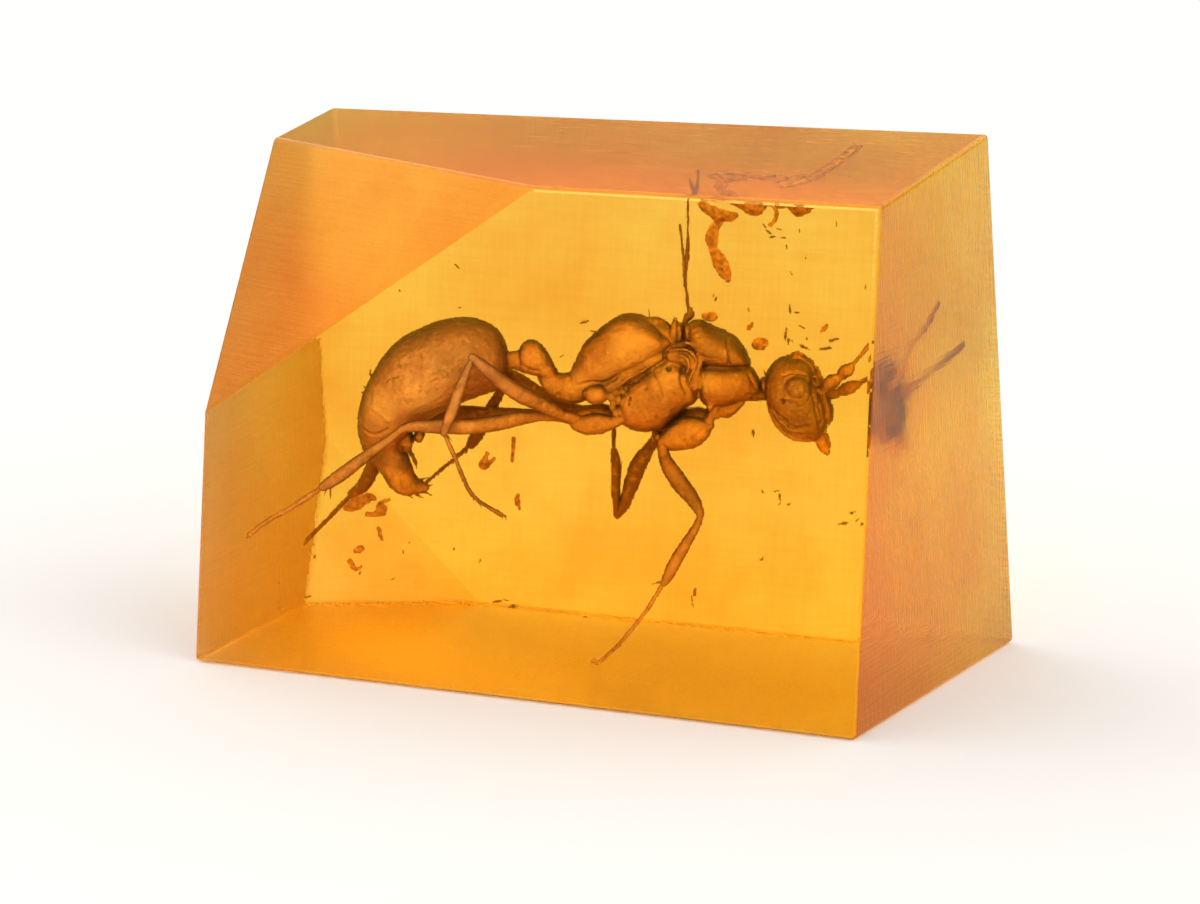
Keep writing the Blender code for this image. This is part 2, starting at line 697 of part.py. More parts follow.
def main():
    clear_scene()
    amber = finish("amber", AMBER_COLOR, 0.10, alpha=0.35)
    chitin = finish("ant chitin", ANT_COLOR, 0.40)
    bark = finish("debris", DEBRIS_COLOR, 0.70)
    pockets = pocket_collection()
    pocketed("amber_front", -1, pockets, amber)
    pocketed("amber_back", 1, pockets, amber)
    fused("ant", ant_pieces(TRUNK_SIDES, LIMB_SIDES, 0.0), chitin)
    for name in DEBRIS:
        fused(name, debris_pieces(name, BLADE_SIDES, 0.0), bark)


main()
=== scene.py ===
"""Looks for an ant in amber: a cut block of clear fossil resin with an ant and debris inside it.

Lengths are in mm wherever a comment doesn't say otherwise. The ant's own directions are along,
from its tail to its head, aside, across its middle plane towards the block's back, and up.
"""

import json
import math

import bmesh
import bpy
import numpy as np
from mathutils import Matrix, Vector, noise

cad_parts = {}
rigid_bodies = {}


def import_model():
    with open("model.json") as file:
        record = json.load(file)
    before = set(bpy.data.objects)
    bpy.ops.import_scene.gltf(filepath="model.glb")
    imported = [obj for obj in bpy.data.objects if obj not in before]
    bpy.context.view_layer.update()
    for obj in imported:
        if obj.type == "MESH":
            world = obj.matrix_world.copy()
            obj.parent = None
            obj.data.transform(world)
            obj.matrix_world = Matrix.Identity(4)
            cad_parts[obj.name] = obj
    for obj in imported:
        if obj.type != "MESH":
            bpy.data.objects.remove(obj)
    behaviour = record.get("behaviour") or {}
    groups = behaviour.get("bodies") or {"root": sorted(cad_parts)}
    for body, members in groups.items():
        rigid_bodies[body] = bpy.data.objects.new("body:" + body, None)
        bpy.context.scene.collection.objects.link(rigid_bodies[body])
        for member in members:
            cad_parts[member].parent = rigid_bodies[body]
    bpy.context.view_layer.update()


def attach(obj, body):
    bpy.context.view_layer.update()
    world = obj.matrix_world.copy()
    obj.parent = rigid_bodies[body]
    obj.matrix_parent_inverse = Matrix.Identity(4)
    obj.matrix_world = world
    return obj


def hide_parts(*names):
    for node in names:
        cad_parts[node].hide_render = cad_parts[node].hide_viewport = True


MM = 0.001
TINY = 1e-9  # as good as nothing, in any unit


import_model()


def add_to_scene(name, data):
    obj = bpy.data.objects.new(name, data)
    bpy.context.scene.collection.objects.link(obj)
    return obj


# --- Camera ---

CAMERA_PLACE = Vector((24.32, -73.61, 28.95))  # from the part's origin
CAMERA_RIGHT = Vector((0.94907, 0.31506, 0.0))
CAMERA_FORWARD = Vector((-0.30024, 0.90443, -0.30309))
CAMERA_LENS, CAMERA_SENSOR = 120.0, 36.0
CAMERA_NEAREST, CAMERA_FURTHEST = 0.001, 10.0  # metres


def add_camera():
    data = bpy.data.cameras.new("camera")
    data.sensor_width = CAMERA_SENSOR
    data.sensor_fit = "HORIZONTAL"
    data.lens = CAMERA_LENS
    data.clip_start = CAMERA_NEAREST
    data.clip_end = CAMERA_FURTHEST
    camera = add_to_scene("camera", data)
    back = -CAMERA_FORWARD.normalized()
    right = CAMERA_RIGHT.normalized()
    turn = Matrix((right, back.cross(right).normalized(), back)).transposed()
    camera.matrix_world = Matrix.Translation(CAMERA_PLACE * MM) @ turn.to_4x4()
    bpy.context.scene.camera = camera


# --- Materials ---

class Nodes:
    """The node tree of a material or a world, and short calls for its nodes."""

    def __init__(self, owner):
        owner.use_nodes = True
        self.nodes, self.links = owner.node_tree.nodes, owner.node_tree.links

    def put(self, node, socket, value):
        if isinstance(value, bpy.types.NodeSocket):
            self.links.new(value, node.inputs[socket])
        else:
            node.inputs[socket].default_value = value

    def add(self, kind, inputs, **settings):
        node = self.nodes.new("ShaderNode" + kind)
        for name, value in settings.items():
            setattr(node, name, value)
        for socket, value in inputs.items():
            self.put(node, socket, value)
        return node

    def span(self, value, low, high, to_low=0.0, to_high=1.0):
        """A value from low to high, drawn out to run from to_low to to_high."""
        made = self.add("MapRange", {"Value": value, "From Min": low, "From Max": high,
                                     "To Min": to_low, "To Max": to_high})
        return made.outputs["Result"]

    def compute(self, operation, *values):
        made = self.add("Math", dict(enumerate(values)), operation=operation)
        return made.outputs[0]

    def times(self, a, b):
        return self.compute("MULTIPLY", a, b)


class Paint(Nodes):
    """A material with one Principled shader."""

    def __init__(self, name):
        self.made = bpy.data.materials.new(name)
        super().__init__(self.made)
        self.shader = self.nodes["Principled BSDF"]
        self.place = self.add("TexCoord", {}).outputs["Object"]

    def surface(self, **values):
        for name, value in values.items():
            self.put(self.shader, name.replace("_", " "), value)

    def layer(self, name, output="Fac"):
        """A value or a colour that the mesh holds."""
        return self.add("Attribute", {}, attribute_name=name).outputs[output]

    def noise(self, size, detail, stretch=(1.0, 1.0, 1.0)):
        """Noise from 0 to 1 with features of this size, drawn out along each axis by stretch."""
        scale = tuple(1.0 / (size * MM * factor) for factor in stretch)
        place = self.add("VectorMath", {0: self.place, 1: scale}, operation="MULTIPLY")
        made = self.add("TexNoise", {"Vector": place.outputs[0], "Scale": 1.0, "Detail": detail})
        return made.outputs["Fac"]

    def patches(self, size, detail, *span):
        return self.span(self.noise(size, detail), *span)

    def mix(self, factor, a, b, blend="MIX"):
        # The Mix node has its colours at inputs 6 and 7 and output 2.
        made = self.add("Mix", {0: factor, 6: a, 7: b}, data_type="RGBA", blend_type=blend)
        return made.outputs[2]

    def bump(self, height, strength, depth):
        made = self.add("Bump", {"Height": height, "Strength": strength, "Distance": depth * MM})
        self.put(self.shader, "Normal", made.outputs["Normal"])


# Below, a noise is the size of its features and its detail. Patches are a noise, the two values
# of it between which they come in and, where that isn't 0 and 1, how much of them shows at each.

AMBER_IOR = 1.54
AMBER_ABSORPTION, AMBER_DENSITY = (0.99, 0.84, 0.10, 1.0), 520.0
AMBER_GLINT = (1.0, 0.62, 0.22, 1.0)
RIND_FOOT, RIND_TOP = 0.5, 5.5  # above the ground, where a face's colour at the foot, with its painted shade and light, becomes its colour up on the face
MATT = 0.2  # the roughness from which a face shows all of the stains in its rind
CLOUDS, CLOUD_TINT = (3.2, 4.0, 0.38, 0.66), (0.94, 0.68, 0.50, 1.0)
BLOTCHES, BLOTCH_TINT = (1.1, 5.0, 0.50, 0.75), (0.97, 0.82, 0.70, 1.0)
STREAK_NOISE, STREAK_SPAN, STREAK_TINT = (0.10, 3.0), (0.75, 1.25), (0.96, 0.88, 0.80, 1.0)
LEVEL_STREAKS, UPRIGHT_STREAKS = (12.0, 12.0, 0.6), (0.6, 0.6, 14.0)  # how far drawn out
GROUND_ROUGHNESS, GROUND_BUMP = (0.14, 0.18), (0.05, 0.35)  # of a polished and a ground face
GROUND_DEPTH = 0.025


def amber_material():
    """Clear resin with a weathered, ground rind that each face has its own share of, its tint
    partly the rind's and partly painted light and shade.
    """
    paint = Paint("amber")
    frost = paint.layer("frost")
    up = paint.add("SeparateXYZ", {0: paint.place}).outputs["Z"]
    # Each face's tint runs from its colour at the foot to its colour up on the face: painted shade
    # at the foot of the right and left faces, painted light at the foot of the back and the chip.
    color = paint.mix(paint.span(up, RIND_FOOT * MM, RIND_TOP * MM),
                      paint.layer("rind foot", "Color"), paint.layer("rind", "Color"))
    streak = paint.compute("ADD", paint.noise(*STREAK_NOISE, LEVEL_STREAKS),
                           paint.noise(*STREAK_NOISE, UPRIGHT_STREAKS))
    stains = (
        (paint.patches(*CLOUDS), CLOUD_TINT),
        (paint.patches(*BLOTCHES), BLOTCH_TINT),
        (paint.span(streak, *STREAK_SPAN), STREAK_TINT),
    )
    matt = paint.span(frost, 0.0, MATT)
    for share, tint in stains:
        color = paint.mix(paint.times(share, matt), color, tint, "MULTIPLY")
    paint.surface(Base_Color=color, Roughness=frost, IOR=AMBER_IOR, Transmission_Weight=1.0,
                  Specular_Tint=AMBER_GLINT)
    paint.bump(streak, paint.span(frost, *GROUND_ROUGHNESS, *GROUND_BUMP), GROUND_DEPTH)
    absorb = paint.add("VolumeAbsorption", {"Color": AMBER_ABSORPTION, "Density": AMBER_DENSITY})
    paint.put(paint.nodes["Material Output"], "Volume", absorb.outputs["Volume"])
    return paint.made


# The chitin's colours: a painted-lit and a painted-shaded copy of its orange, the shaded one also
# the mottle's dark tone; a painted shade for rims and creases; a stain; a darker pigment that also
# serves as painted shade; a painted highlight; the specks' tint; and the gloss's tint.
CHITIN_PAINTED_LIT, CHITIN_PAINTED_SHADED_AND_MOTTLE = (1.0, 0.43, 0.13, 1.0), (0.52, 0.19, 0.06, 1.0)
CHITIN_PAINTED_SHADE, CHITIN_STAIN = (0.12, 0.058, 0.028, 1.0), (0.46, 0.16, 0.06, 1.0)
CHITIN_DARK_PIGMENT_AND_SHADE, CHITIN_PAINTED_HIGHLIGHT = (0.26, 0.11, 0.035, 1.0), (1.0, 0.50, 0.15, 1.0)
CHITIN_SPECK, CHITIN_GLINT = (0.60, 0.52, 0.50, 1.0), (1.0, 0.60, 0.24, 1.0)
MOTTLE, STAINS = (0.45, 6.0, 0.36, 0.64), (1.10, 3.0, 0.42, 0.68, 0.0, 0.50)
SPECKLES, SPECKLED = (0.11, 6.0, 0.50, 0.72), (0.90, 2.0, 0.42, 0.60, 0.15, 0.85)
GLEAMS = (0.17, 5.0, 0.56, 0.74, 0.0, 0.50)
# The skin's colour is painted light and shade: painted lit where the skin faces squarely aside and
# painted shaded towards the ant's back and belly, going by how squarely it faces aside, from 0 to
# 1.
# Facing up adds a little painted light.
FLANK_SPAN, RIM_SHADE_SPAN, PAINTED_LIGHT_FROM_ABOVE = (0.62, 1.0), (0.24, 0.76), 0.02
RIM_SHADE_RAGGED = (-0.10, 0.06)  # how far the mottle shifts the painted rim shade, where it is dark and pale
MOTTLE_SHADE, MOTTLE_ROUGHNESS = (0.75, 0.0), (0.50, 0.36)  # where it is dark and pale
CREASE_SHADE_REACH, CREASE_SHADE_RAYS, CREASE_SHADE_SPAN = 0.35, 6, (0.25, 0.80)  # painted shade in creases, coming in by how open the space before the skin is
CHITIN_SPECULAR = 0.45
SKIN_NOISES, SKIN_BUMP, SKIN_DEPTH = ((0.05, 4.0), (0.16, 3.0)), 0.8, 0.026


def chitin_material():
    """Amber-soaked chitin: flanks painted lit, the back and belly painted shaded, painted shade at
    rims and in creases, painted highlights, and a fine grain.
    """
    paint = Paint("chitin")
    mottle = paint.patches(*MOTTLE)
    speck = paint.times(paint.patches(*SPECKLED), paint.patches(*SPECKLES))
    # Painted light and shade by the skin's own direction: painted lit where it faces aside, painted
    # shaded on the back and belly, a little more lit where it faces up.
    normal = paint.add("TexCoord", {}).outputs["Normal"]
    across = tuple(ANT_TURN @ Vector((0.0, 1.0, 0.0)))
    aside = paint.add("VectorMath", {0: normal, 1: across}, operation="DOT_PRODUCT")
    flank = paint.compute("MULTIPLY_ADD", paint.add("SeparateXYZ", {0: normal}).outputs["Z"],
                          PAINTED_LIGHT_FROM_ABOVE, paint.compute("ABSOLUTE", aside.outputs["Value"]))
    color = paint.mix(paint.span(flank, *FLANK_SPAN), CHITIN_PAINTED_SHADED_AND_MOTTLE, CHITIN_PAINTED_LIT)
    color = paint.mix(paint.span(mottle, 0.0, 1.0, *MOTTLE_SHADE), color, CHITIN_PAINTED_SHADED_AND_MOTTLE)
    color = paint.mix(paint.patches(*STAINS), color, CHITIN_STAIN)
    # Spots of darker pigment and painted shade, and, where the layer is below zero, of painted
    # highlight.
    dusk = paint.layer("dusk")
    color = paint.mix(dusk, color, CHITIN_DARK_PIGMENT_AND_SHADE)
    color = paint.mix(paint.times(dusk, -1.0), color, CHITIN_PAINTED_HIGHLIGHT)
    # Random patches of painted highlight.
    color = paint.mix(paint.patches(*GLEAMS), color, CHITIN_PAINTED_LIT)
    color = paint.mix(speck, color, CHITIN_SPECK, "MULTIPLY")
    # Painted shade along the rims, where the skin turns away from facing aside; the mottle makes
    # its edge ragged.
    edge = paint.compute("ADD", paint.span(mottle, 0.0, 1.0, *RIM_SHADE_RAGGED), flank)
    color = paint.mix(paint.span(edge, *RIM_SHADE_SPAN), CHITIN_PAINTED_SHADE, color)
    # Painted shade in creases, where the space before the skin is closed in.
    space = paint.add("AmbientOcclusion", {"Distance": CREASE_SHADE_REACH * MM}, samples=CREASE_SHADE_RAYS)
    color = paint.mix(paint.span(space.outputs["AO"], *CREASE_SHADE_SPAN), CHITIN_PAINTED_SHADE, color)
    paint.surface(Base_Color=color, Roughness=paint.span(mottle, 0.0, 1.0, *MOTTLE_ROUGHNESS),
                  Specular_IOR_Level=CHITIN_SPECULAR, Specular_Tint=CHITIN_GLINT)
    height = paint.compute("ADD", *(paint.noise(*row) for row in SKIN_NOISES))
    paint.bump(height, SKIN_BUMP, SKIN_DEPTH)
    return paint.made


BARK_DARK, BARK_PALE = (0.36, 0.12, 0.03, 1.0), (0.86, 0.34, 0.09, 1.0)
BARK_GRAINS, BARK_ROUGHNESS = (0.12, 5.0, 0.35, 0.65), 0.75
BARK_NOISE, BARK_BUMP, BARK_DEPTH = (0.06, 5.0), 0.8, 0.02
DUST_DARK, DUST_PALE = (0.17, 0.085, 0.025, 1.0), (0.46, 0.24, 0.06, 1.0)
DUST_GRAINS, DUST_ROUGHNESS = (0.05, 3.0, 0.4, 0.6), 0.8
PAPER, PAPER_ROUGHNESS = (0.95, 0.93, 0.89, 1.0), 0.9


def debris_material():
    """Crumbly bark and frass, rust red with paler and darker grains."""
    paint = Paint("bark")
    color = paint.mix(paint.patches(*BARK_GRAINS), BARK_DARK, BARK_PALE)
    paint.surface(Base_Color=color, Roughness=BARK_ROUGHNESS)
    paint.bump(paint.noise(*BARK_NOISE), BARK_BUMP, BARK_DEPTH)
    return paint.made


def dust_material():
    """Fine dust, olive brown in the resin."""
    paint = Paint("dust")
    color = paint.mix(paint.patches(*DUST_GRAINS), DUST_DARK, DUST_PALE)
    paint.surface(Base_Color=color, Roughness=DUST_ROUGHNESS)
    return paint.made


def paper_material():
    paint = Paint("floor paper")
    paint.surface(Base_Color=PAPER, Roughness=PAPER_ROUGHNESS)
    return paint.made


# --- The block ---

FRONT_LEFT_FOOT = Vector((-7.80, -3.28, 0.0))  # from the part's origin
CORNERS = {  # from the front left foot: x to the right, y to the back, z up
    "front left foot": (0.0, 0.0, 0.0),
    "front right foot": (14.0, 0.0, 0.0),
    "back right foot": (15.70, 6.45, 0.0),
    "front right top": (13.72, 2.16, 10.16),
    "back right top": (14.82, 6.54, 10.72),
    "back left top": (0.80, 6.07, 10.38),
    "cut, left end": (0.31, 4.06, 10.12),
    "cut, right end": (6.65, 2.13, 10.01),
    "cut, low end": (-0.10, 1.07, 5.02),
    "chip, left foot": (1.26, 4.66, 0.0),
    "chip, back foot": (4.80, 6.09, 0.0),
    "chip, top": (1.30, 5.99, 3.30),
}
FACES = {  # each a plane through three corners
    "base": ("front left foot", "front right foot", "back right foot"),
    "front": ("front left foot", "front right foot", "front right top"),
    "right": ("front right foot", "back right foot", "front right top"),
    "top": ("front right top", "back right top", "cut, right end"),
    "left": ("front left foot", "cut, low end", "cut, left end"),
    "upper left cut": ("cut, left end", "cut, right end", "cut, low end"),
    "back": ("back right foot", "back right top", "back left top"),
    "lower left chip": ("chip, left foot", "chip, back foot", "chip, top"),
}
# How rough each face is ground, and the colour that its weathered rind leaves of white light: up
# on the face and, where that differs, at the block's foot. These colours are partly the rind's and
# partly painted light and shade, face by face: the foot is painted shade on the right and left
# faces and painted light on the back and the lower left chip.
FINISH = {
    "base": (0.50, (1.0, 0.92, 0.60)),
    "front": (0.0, (1.0, 1.0, 1.0)),
    "right": (0.18, (1.0, 1.0, 0.04), (0.52, 0.33, 0.01)),
    "top": (0.13, (1.0, 0.94, 0.04)),
    "left": (0.60, (1.0, 0.94, 0.26), (0.86, 0.60, 0.12)),
    "upper left cut": (0.45, (0.96, 0.57, 0.12)),
    "back": (0.50, (1.0, 0.69, 0.36), (1.0, 0.98, 0.90)),
    "lower left chip": (0.60, (1.0, 0.76, 0.45), (1.0, 0.83, 0.60)),
}
RAW_CUBE = 60.0  # longer than the block in every direction
EDGE_BEVEL, EDGE_SEGMENTS = 0.09, 3


def face_plane(face):
    """A point on a face's plane, in metres, and the direction out of the block."""
    a, b, c = (FRONT_LEFT_FOOT + Vector(CORNERS[corner]) for corner in FACES[face])
    middle = FRONT_LEFT_FOOT + sum((Vector(p) for p in CORNERS.values()), Vector()) / len(CORNERS)
    outward = (b - a).cross(c - a).normalized()
    if outward.dot(middle - a) > 0:
        outward.negate()
    return a * MM, outward


def block_mesh():
    """A cube cut flat at each face's plane, with rounded edges."""
    edit = bmesh.new()
    bmesh.ops.create_cube(edit, size=RAW_CUBE * MM)
    for face in FACES:
        point, outward = face_plane(face)
        everything = list(edit.verts) + list(edit.edges) + list(edit.faces)
        found = bmesh.ops.bisect_plane(
            edit, geom=everything, dist=TINY, plane_co=point, plane_no=outward, clear_outer=True
        )
        rim = [item for item in found["geom_cut"] if isinstance(item, bmesh.types.BMEdge)]
        bmesh.ops.holes_fill(edit, edges=rim, sides=0)
    bmesh.ops.bevel(
        edit, geom=list(edit.edges), offset=EDGE_BEVEL * MM, offset_type="OFFSET",
        segments=EDGE_SEGMENTS, profile=0.5, affect="EDGES",
    )
    bmesh.ops.recalc_face_normals(edit, faces=edit.faces)
    mesh = bpy.data.meshes.new("amber_block")
    edit.to_mesh(mesh)
    edit.free()
    return mesh


def add_block():
    """The whole block in one clear piece. Each face of it and its bevels hold their finish: a
    roughness and tints that are partly the rind's and partly painted light and shade.
    """
    mesh = block_mesh()
    outward = {face: face_plane(face)[1] for face in FACES}
    frost = mesh.attributes.new("frost", "FLOAT", "FACE")
    rind = mesh.attributes.new("rind", "FLOAT_COLOR", "FACE")
    foot = mesh.attributes.new("rind foot", "FLOAT_COLOR", "FACE")
    for flat in mesh.polygons:
        nearest = max(outward, key=lambda face: outward[face].dot(flat.normal))
        roughness, *colors = FINISH[nearest]
        frost.data[flat.index].value = roughness
        rind.data[flat.index].color = (*colors[0], 1.0)
        foot.data[flat.index].color = (*colors[-1], 1.0)
    mesh.materials.append(amber_material())
    block = add_to_scene("amber_block", mesh)
    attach(block, "root")
    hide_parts("amber_front", "amber_back")


# --- The ant's measures ---

ANT_WAIST = Vector((5.0, 3.3, 0.0))  # from the front left foot
ANT_ORIGIN = FRONT_LEFT_FOOT + ANT_WAIST
ANT_YAW = math.radians(8.5)
ANT_TURN = Matrix.Rotation(ANT_YAW, 3, "Z")

# The ant's trunk, as rings from tail to head. A ring is (along, up) of its upper and then of its
# lower point in the middle plane, and its half width across that plane.
GASTER = (
    (0.93, 6.27, 0.94, 5.89, 0.18), (0.83, 6.52, 0.84, 5.64, 0.42),
    (0.66, 6.73, 0.71, 5.45, 0.60), (0.34, 6.87, 0.43, 5.33, 0.74),
    (-0.04, 6.91, 0.07, 5.18, 0.83), (-0.60, 6.78, -0.36, 4.96, 0.89),
    (-1.24, 6.46, -0.81, 4.68, 0.88), (-1.60, 6.13, -1.02, 4.50, 0.82),
    (-1.92, 5.63, -1.14, 4.36, 0.74), (-2.14, 5.12, -1.22, 4.27, 0.64),
    (-2.22, 4.63, -1.26, 4.19, 0.54), (-2.18, 4.25, -1.27, 4.12, 0.45),
    (-2.00, 3.88, -1.22, 4.05, 0.37), (-1.72, 3.55, -1.13, 3.96, 0.31),
    (-1.50, 3.24, -1.03, 3.66, 0.26), (-1.20, 3.10, -0.92, 3.50, 0.20),
    (-0.78, 3.16, -0.70, 3.36, 0.10),
)
WAIST_NODE = (
    (0.86, 6.24, 0.88, 5.93, 0.14), (1.15, 6.29, 1.17, 5.86, 0.18),
    (1.22, 6.43, 1.27, 5.82, 0.27), (1.37, 6.52, 1.40, 5.80, 0.33),
    (1.53, 6.50, 1.55, 5.77, 0.34), (1.68, 6.38, 1.63, 5.75, 0.31),
    (1.82, 6.18, 1.74, 5.68, 0.26), (1.96, 5.94, 1.88, 5.60, 0.20),
)
WAIST_STALK = (
    (1.60, 5.80, 1.63, 5.62, 0.13), (1.67, 5.84, 1.73, 5.49, 0.24),
    (1.84, 5.87, 1.88, 5.33, 0.28), (2.10, 5.86, 2.14, 5.25, 0.30),
    (2.32, 5.90, 2.38, 5.25, 0.33), (2.56, 5.84, 2.60, 5.34, 0.34),
)
HUMP = (
    (2.24, 5.93, 2.40, 5.33, 0.32), (2.39, 6.25, 2.66, 5.50, 0.42),
    (2.52, 6.52, 2.93, 5.64, 0.50), (2.73, 6.74, 3.13, 5.75, 0.56),
    (2.96, 6.94, 3.38, 5.91, 0.60), (3.20, 7.10, 3.62, 6.03, 0.62),
    (3.45, 7.17, 3.84, 6.16, 0.60), (3.69, 7.12, 4.01, 6.28, 0.58),
    (3.94, 7.01, 4.17, 6.39, 0.52), (4.14, 6.86, 4.30, 6.52, 0.38),
)
BACK_PLATE = (
    (3.10, 6.20, 3.14, 5.50, 0.16), (3.32, 6.50, 3.32, 5.60, 0.24),
    (3.55, 6.95, 3.50, 5.70, 0.26), (3.80, 7.11, 3.76, 5.70, 0.28),
    (4.05, 7.12, 4.02, 5.70, 0.30), (4.24, 7.02, 4.24, 5.75, 0.30),
    (4.38, 6.82, 4.40, 5.80, 0.30), (4.62, 6.70, 4.64, 5.80, 0.34),
    (4.86, 6.70, 4.88, 5.80, 0.40),
)
PRONOTUM = (
    (4.64, 7.00, 4.72, 6.54, 0.30), (4.72, 7.08, 4.82, 6.34, 0.46),
    (4.87, 7.11, 4.93, 6.24, 0.56), (5.05, 7.04, 5.10, 6.20, 0.62),
    (5.26, 6.95, 5.28, 6.20, 0.62), (5.46, 6.87, 5.48, 6.20, 0.60),
    (5.65, 6.75, 5.68, 6.22, 0.54), (5.80, 6.56, 5.84, 6.24, 0.42),
    (5.90, 6.38, 5.91, 6.27, 0.24),
)
NECK_SHIELD = (
    (4.93, 6.12, 4.93, 5.53, 0.40), (5.01, 6.28, 5.03, 5.39, 0.54),
    (5.24, 6.32, 5.26, 5.34, 0.61), (5.50, 6.32, 5.53, 5.40, 0.59),
    (5.73, 6.30, 5.75, 5.49, 0.51), (5.93, 6.22, 5.91, 5.51, 0.39),
    (6.09, 6.03, 6.06, 5.52, 0.26), (6.20, 5.83, 6.19, 5.52, 0.17),
    (6.40, 5.80, 6.40, 5.53, 0.14),
)
SIDE_PLATE = (
    (3.17, 5.40, 3.20, 5.04, 0.30), (3.33, 5.74, 3.43, 4.83, 0.52),
    (3.56, 5.95, 3.69, 4.76, 0.65), (3.81, 6.13, 3.95, 4.77, 0.71),
    (4.03, 6.29, 4.20, 4.87, 0.74), (4.25, 6.39, 4.42, 5.08, 0.73),
    (4.49, 6.36, 4.64, 5.29, 0.68), (4.70, 6.18, 4.81, 5.40, 0.58),
    (4.85, 5.90, 4.90, 5.52, 0.40),
)
THROAT_LOBE = (
    (5.20, 5.46, 5.24, 5.24, 0.20), (5.38, 5.52, 5.41, 5.14, 0.30),
    (5.58, 5.55, 5.61, 5.17, 0.28), (5.80, 5.60, 5.80, 5.38, 0.18),
)
HEAD = (
    (6.25, 6.00, 6.27, 5.66, 0.32), (6.32, 6.19, 6.32, 5.43, 0.52),
    (6.44, 6.34, 6.44, 5.17, 0.67), (6.63, 6.44, 6.60, 4.94, 0.79),
    (6.86, 6.48, 6.80, 4.80, 0.86), (7.02, 6.46, 7.00, 4.74, 0.87),
    (7.14, 6.38, 7.18, 4.74, 0.83), (7.27, 6.11, 7.35, 4.79, 0.73),
    (7.37, 5.90, 7.47, 4.93, 0.59), (7.45, 5.68, 7.54, 5.12, 0.42),
)
# Paired pieces, as rings about a plane of their own on either side of the middle plane.
HIND_COXA = (
    (2.33, 5.00, 2.31, 4.82, 0.09), (2.42, 5.06, 2.40, 4.77, 0.15),
    (2.63, 5.13, 2.64, 4.70, 0.20), (2.90, 5.17, 2.92, 4.74, 0.21),
    (3.12, 5.13, 3.14, 4.83, 0.18), (3.36, 5.16, 3.36, 4.95, 0.12),
)
FRONT_COXA = (
    (4.14, 4.75, 4.17, 4.52, 0.10), (4.33, 4.97, 4.37, 4.47, 0.19),
    (4.57, 5.16, 4.67, 4.50, 0.25), (4.82, 5.20, 4.96, 4.60, 0.25),
    (5.05, 5.18, 5.13, 4.77, 0.20), (5.20, 5.10, 5.22, 4.96, 0.12),
)
JAW = (
    (7.24, 5.20, 7.12, 5.08, 0.09), (7.38, 5.11, 7.20, 4.94, 0.12),
    (7.50, 4.96, 7.31, 4.77, 0.11), (7.60, 4.74, 7.44, 4.60, 0.08),
    (7.62, 4.60, 7.55, 4.52, 0.04),
)
HIP_KNOB = (
    (2.56, 5.64, 2.57, 5.50, 0.12), (2.66, 5.74, 2.66, 5.40, 0.20),
    (2.80, 5.77, 2.80, 5.36, 0.22), (2.94, 5.74, 2.95, 5.40, 0.20),
    (3.06, 5.64, 3.05, 5.48, 0.12),
)

